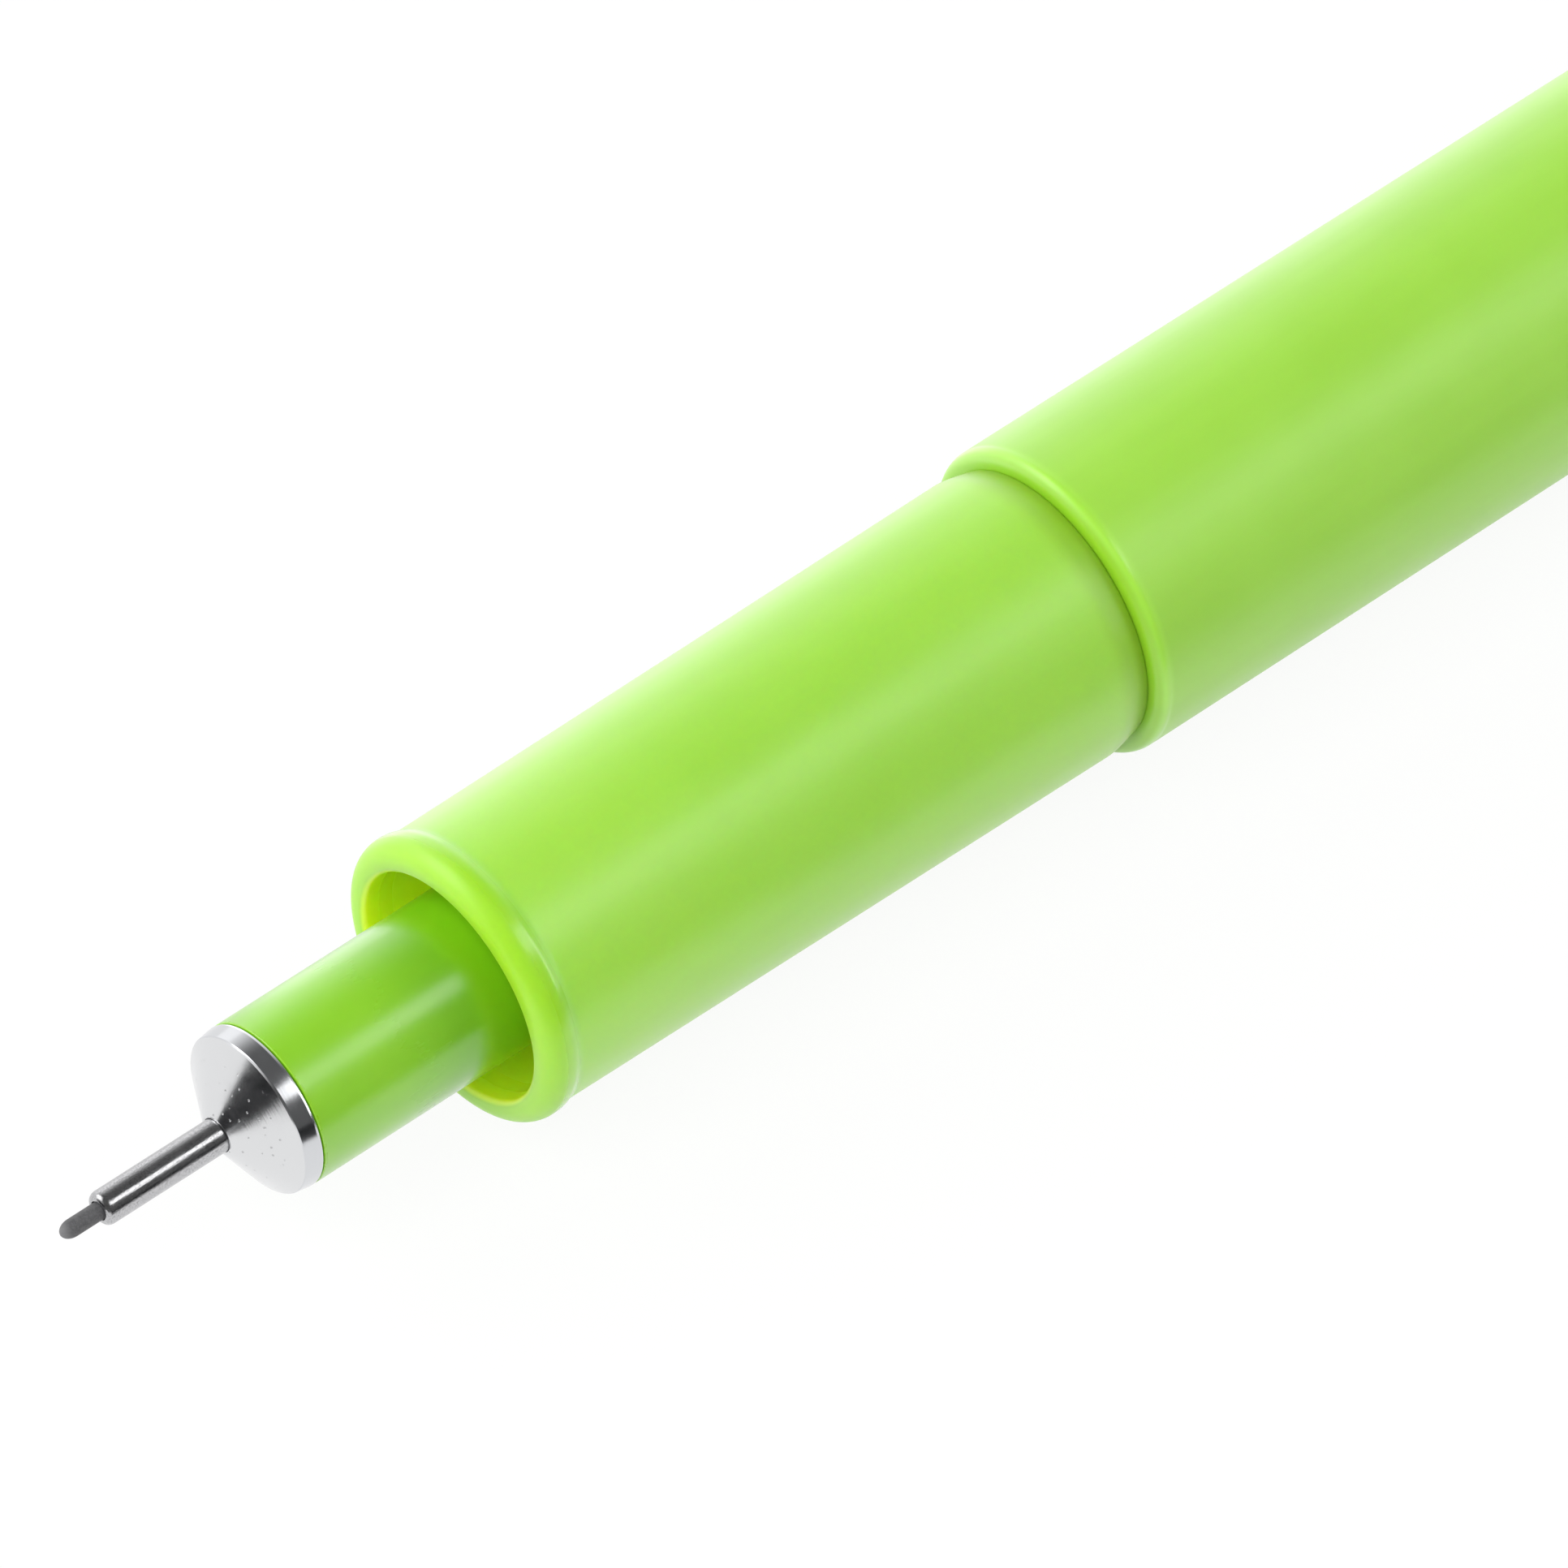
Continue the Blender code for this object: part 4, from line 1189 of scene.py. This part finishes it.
# %% World
SWEEP_HEIGHTS = (0.91, 0.38)
SWEEP_DEPTHS = (-0.10, 0.35)
ROOM_LEVEL = 0.12
world = bpy.data.worlds.new("studio")
bpy.context.scene.world = world
world.use_nodes = True
sky = Finish(world.node_tree)
sky_y, sky_z = sky.parts_of(sky.node("ShaderNodeTexCoord", output="Generated"))[1:]
sweep = sky.step(sky_z, *SWEEP_HEIGHTS) * sky.step(sky_y, *SWEEP_DEPTHS)
camera_sees = sky.node("ShaderNodeLightPath", output="Is Camera Ray")
glass_sees = sky.node("ShaderNodeLightPath", output="Is Transmission Ray")
open_white = camera_sees + glass_sees
strength = (sweep * (1 - ROOM_LEVEL) + ROOM_LEVEL) * (1 - open_white) + open_white
backdrop = sky.node("ShaderNodeBackground", None, {"Color": WHITE, "Strength": strength})
sky.node("ShaderNodeOutputWorld", None, {"Surface": backdrop}, output=None)
print(f"world: {len(sky.tree.nodes)} nodes, a dim room at {ROOM_LEVEL} of the sweep's white")

# %% [markdown]
# ## Lamps
#
# A cylinder mirrors only one ring of directions: those that make the same angle with its axis as the camera
# does. So each lamp's place follows from where its reflection shows. The long pale streak just off the
# pen's middle mirrors the strip, and the broad shine above it the sheen lamp. The edge light draws the thin
# bright lines along the rear edges of the rim and the lip. A weak panel stands behind the pen, low down.
# The pen's upper edge is nearly white in the picture, because it mirrors the overexposed table. More light
# there would wash out the whole upper side, so a low strip stands close behind the pen and only reflections
# see it. The main light stands to the left. It lights the plastic and isn't seen by reflections, because
# the picture shows no image of it. One image of a studio could light all this, but then no lamp could be
# moved or dimmed alone.

# %% A lamp like a softbox
TARGET = Vector((-0.04, pen_start.y, pen_start.z))
ALONG_PEN = (1, 0, 0)
ACROSS_PEN = (0, 1, 0)


def softbox(name, towards, distance, sides, radiance, long_axis=ALONG_PEN, target=TARGET):
    """A rectangular lamp aimed at the pen, in metres. Its radiance is set, and its watts follow from it."""
    data = bpy.data.lights.new(name, "AREA")
    data.shape = "RECTANGLE"
    data.size, data.size_y = sides
    data.energy = radiance * math.pi * sides[0] * sides[1]
    lamp = bpy.data.objects.new(name, data)
    bpy.context.scene.collection.objects.link(lamp)
    outward = Vector(towards).normalized()
    x_axis = Vector(long_axis) - outward * outward.dot(Vector(long_axis))
    x_axis.normalize()
    turn_to = Matrix((x_axis, outward.cross(x_axis), outward)).transposed()
    lamp.rotation_mode = "QUATERNION"
    lamp.rotation_quaternion = turn_to.to_quaternion()
    lamp.location = target + outward * distance
    lamp.visible_camera = False
    print(f"{name}: {data.energy:.3g} W at {[round(x, 3) for x in lamp.location]} m")
    return lamp


# %% Set up the lamps
softbox("strip", towards=(0.434, -0.515, 0.739), distance=0.8, sides=(0.7, 0.27), radiance=2.15)
softbox("edge_light", towards=(0.75, -0.584, 0.308), distance=0.8, sides=(0.20, 0.46), radiance=2.4)
softbox("back_panel", towards=(0.42, 0.90, 0.20), distance=1.2, sides=(1.2, 0.55), radiance=0.28)
softbox("sheen", towards=(-0.47, 0.60, 0.65), distance=1.1, sides=(0.7, 0.7), radiance=2.4)
RIM_STRIP_TARGET = Vector((0.0115, pen_start.y, pen_start.z))
rim_strip = softbox(
    "rim_strip",
    towards=(0, 1, -0.03),
    distance=0.0155,
    sides=(0.157, 0.0096),
    radiance=0.8,
    target=RIM_STRIP_TARGET,
)
rim_strip.visible_diffuse = False
main_light = softbox(
    "main",
    towards=(-0.62, -0.18, 0.76),
    distance=1.1,
    sides=(0.9, 0.9),
    radiance=4.55,
    long_axis=ACROSS_PEN,
)
main_light.visible_glossy = False

# %% [markdown]
# ## Dark cards
#
# On a real product table small black cards stand just outside the picture, so that bright metal gets dark
# stripes and reads as metal. The dark parts of the cone, the rim and the needle need them here too. A
# darker world would do it as well, but would dull the plastic. The cards are real black boxes on the floor
# that only reflections see, so they take no light from the pen and throw no shadow.

# %% Dark cards that only reflections see
BLACK_FELT = (0.020, 0.020, 0.022)
card_material = bpy.data.materials.new("black_card")
card_material.use_nodes = True
felt = Finish(card_material.node_tree)
black = felt.node("ShaderNodeBsdfDiffuse", None, {"Color": BLACK_FELT})
felt.node("ShaderNodeOutputMaterial", None, {"Surface": black}, output=None)


def dark_card(name, size, foot):
    """A standing card, its size in mm and its foot's place in mm from the nib's point, on the floor."""
    card = bpy.data.objects.new(name, box_mesh(size, (0, 0, size[2] / 2 + 0.01)))
    card.location = (pen_start.x + foot[0] * MM, pen_start.y + foot[1] * MM, 0)
    bpy.context.scene.collection.objects.link(card)
    card.data.materials.append(card_material)
    card.visible_camera = False
    card.visible_diffuse = False
    card.visible_shadow = False
    card.visible_transmission = False
    card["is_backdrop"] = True
    print(f"{name}: {size} mm")


dark_card("card_before_the_nib", size=(0.5, 12.4, 12.0), foot=(-13.0, 4.10))
dark_card("card_in_front", size=(60.0, 0.5, 10.0), foot=(20.0, -31.0))
dark_card("card_beside_the_barrel", size=(160.0, 0.5, 7.0), foot=(110.0, -20.0))

# %% [markdown]
# ## The last measurements
#
# This prints how far the dressed scene's size is from the imported model's.

# %% Measure the size
new_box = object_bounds()
size_change = (new_box[1] - new_box[0]) - (cad_box[1] - cad_box[0])
print("scene minus CAD in mm:", [round(x / MM, 4) for x in size_change])
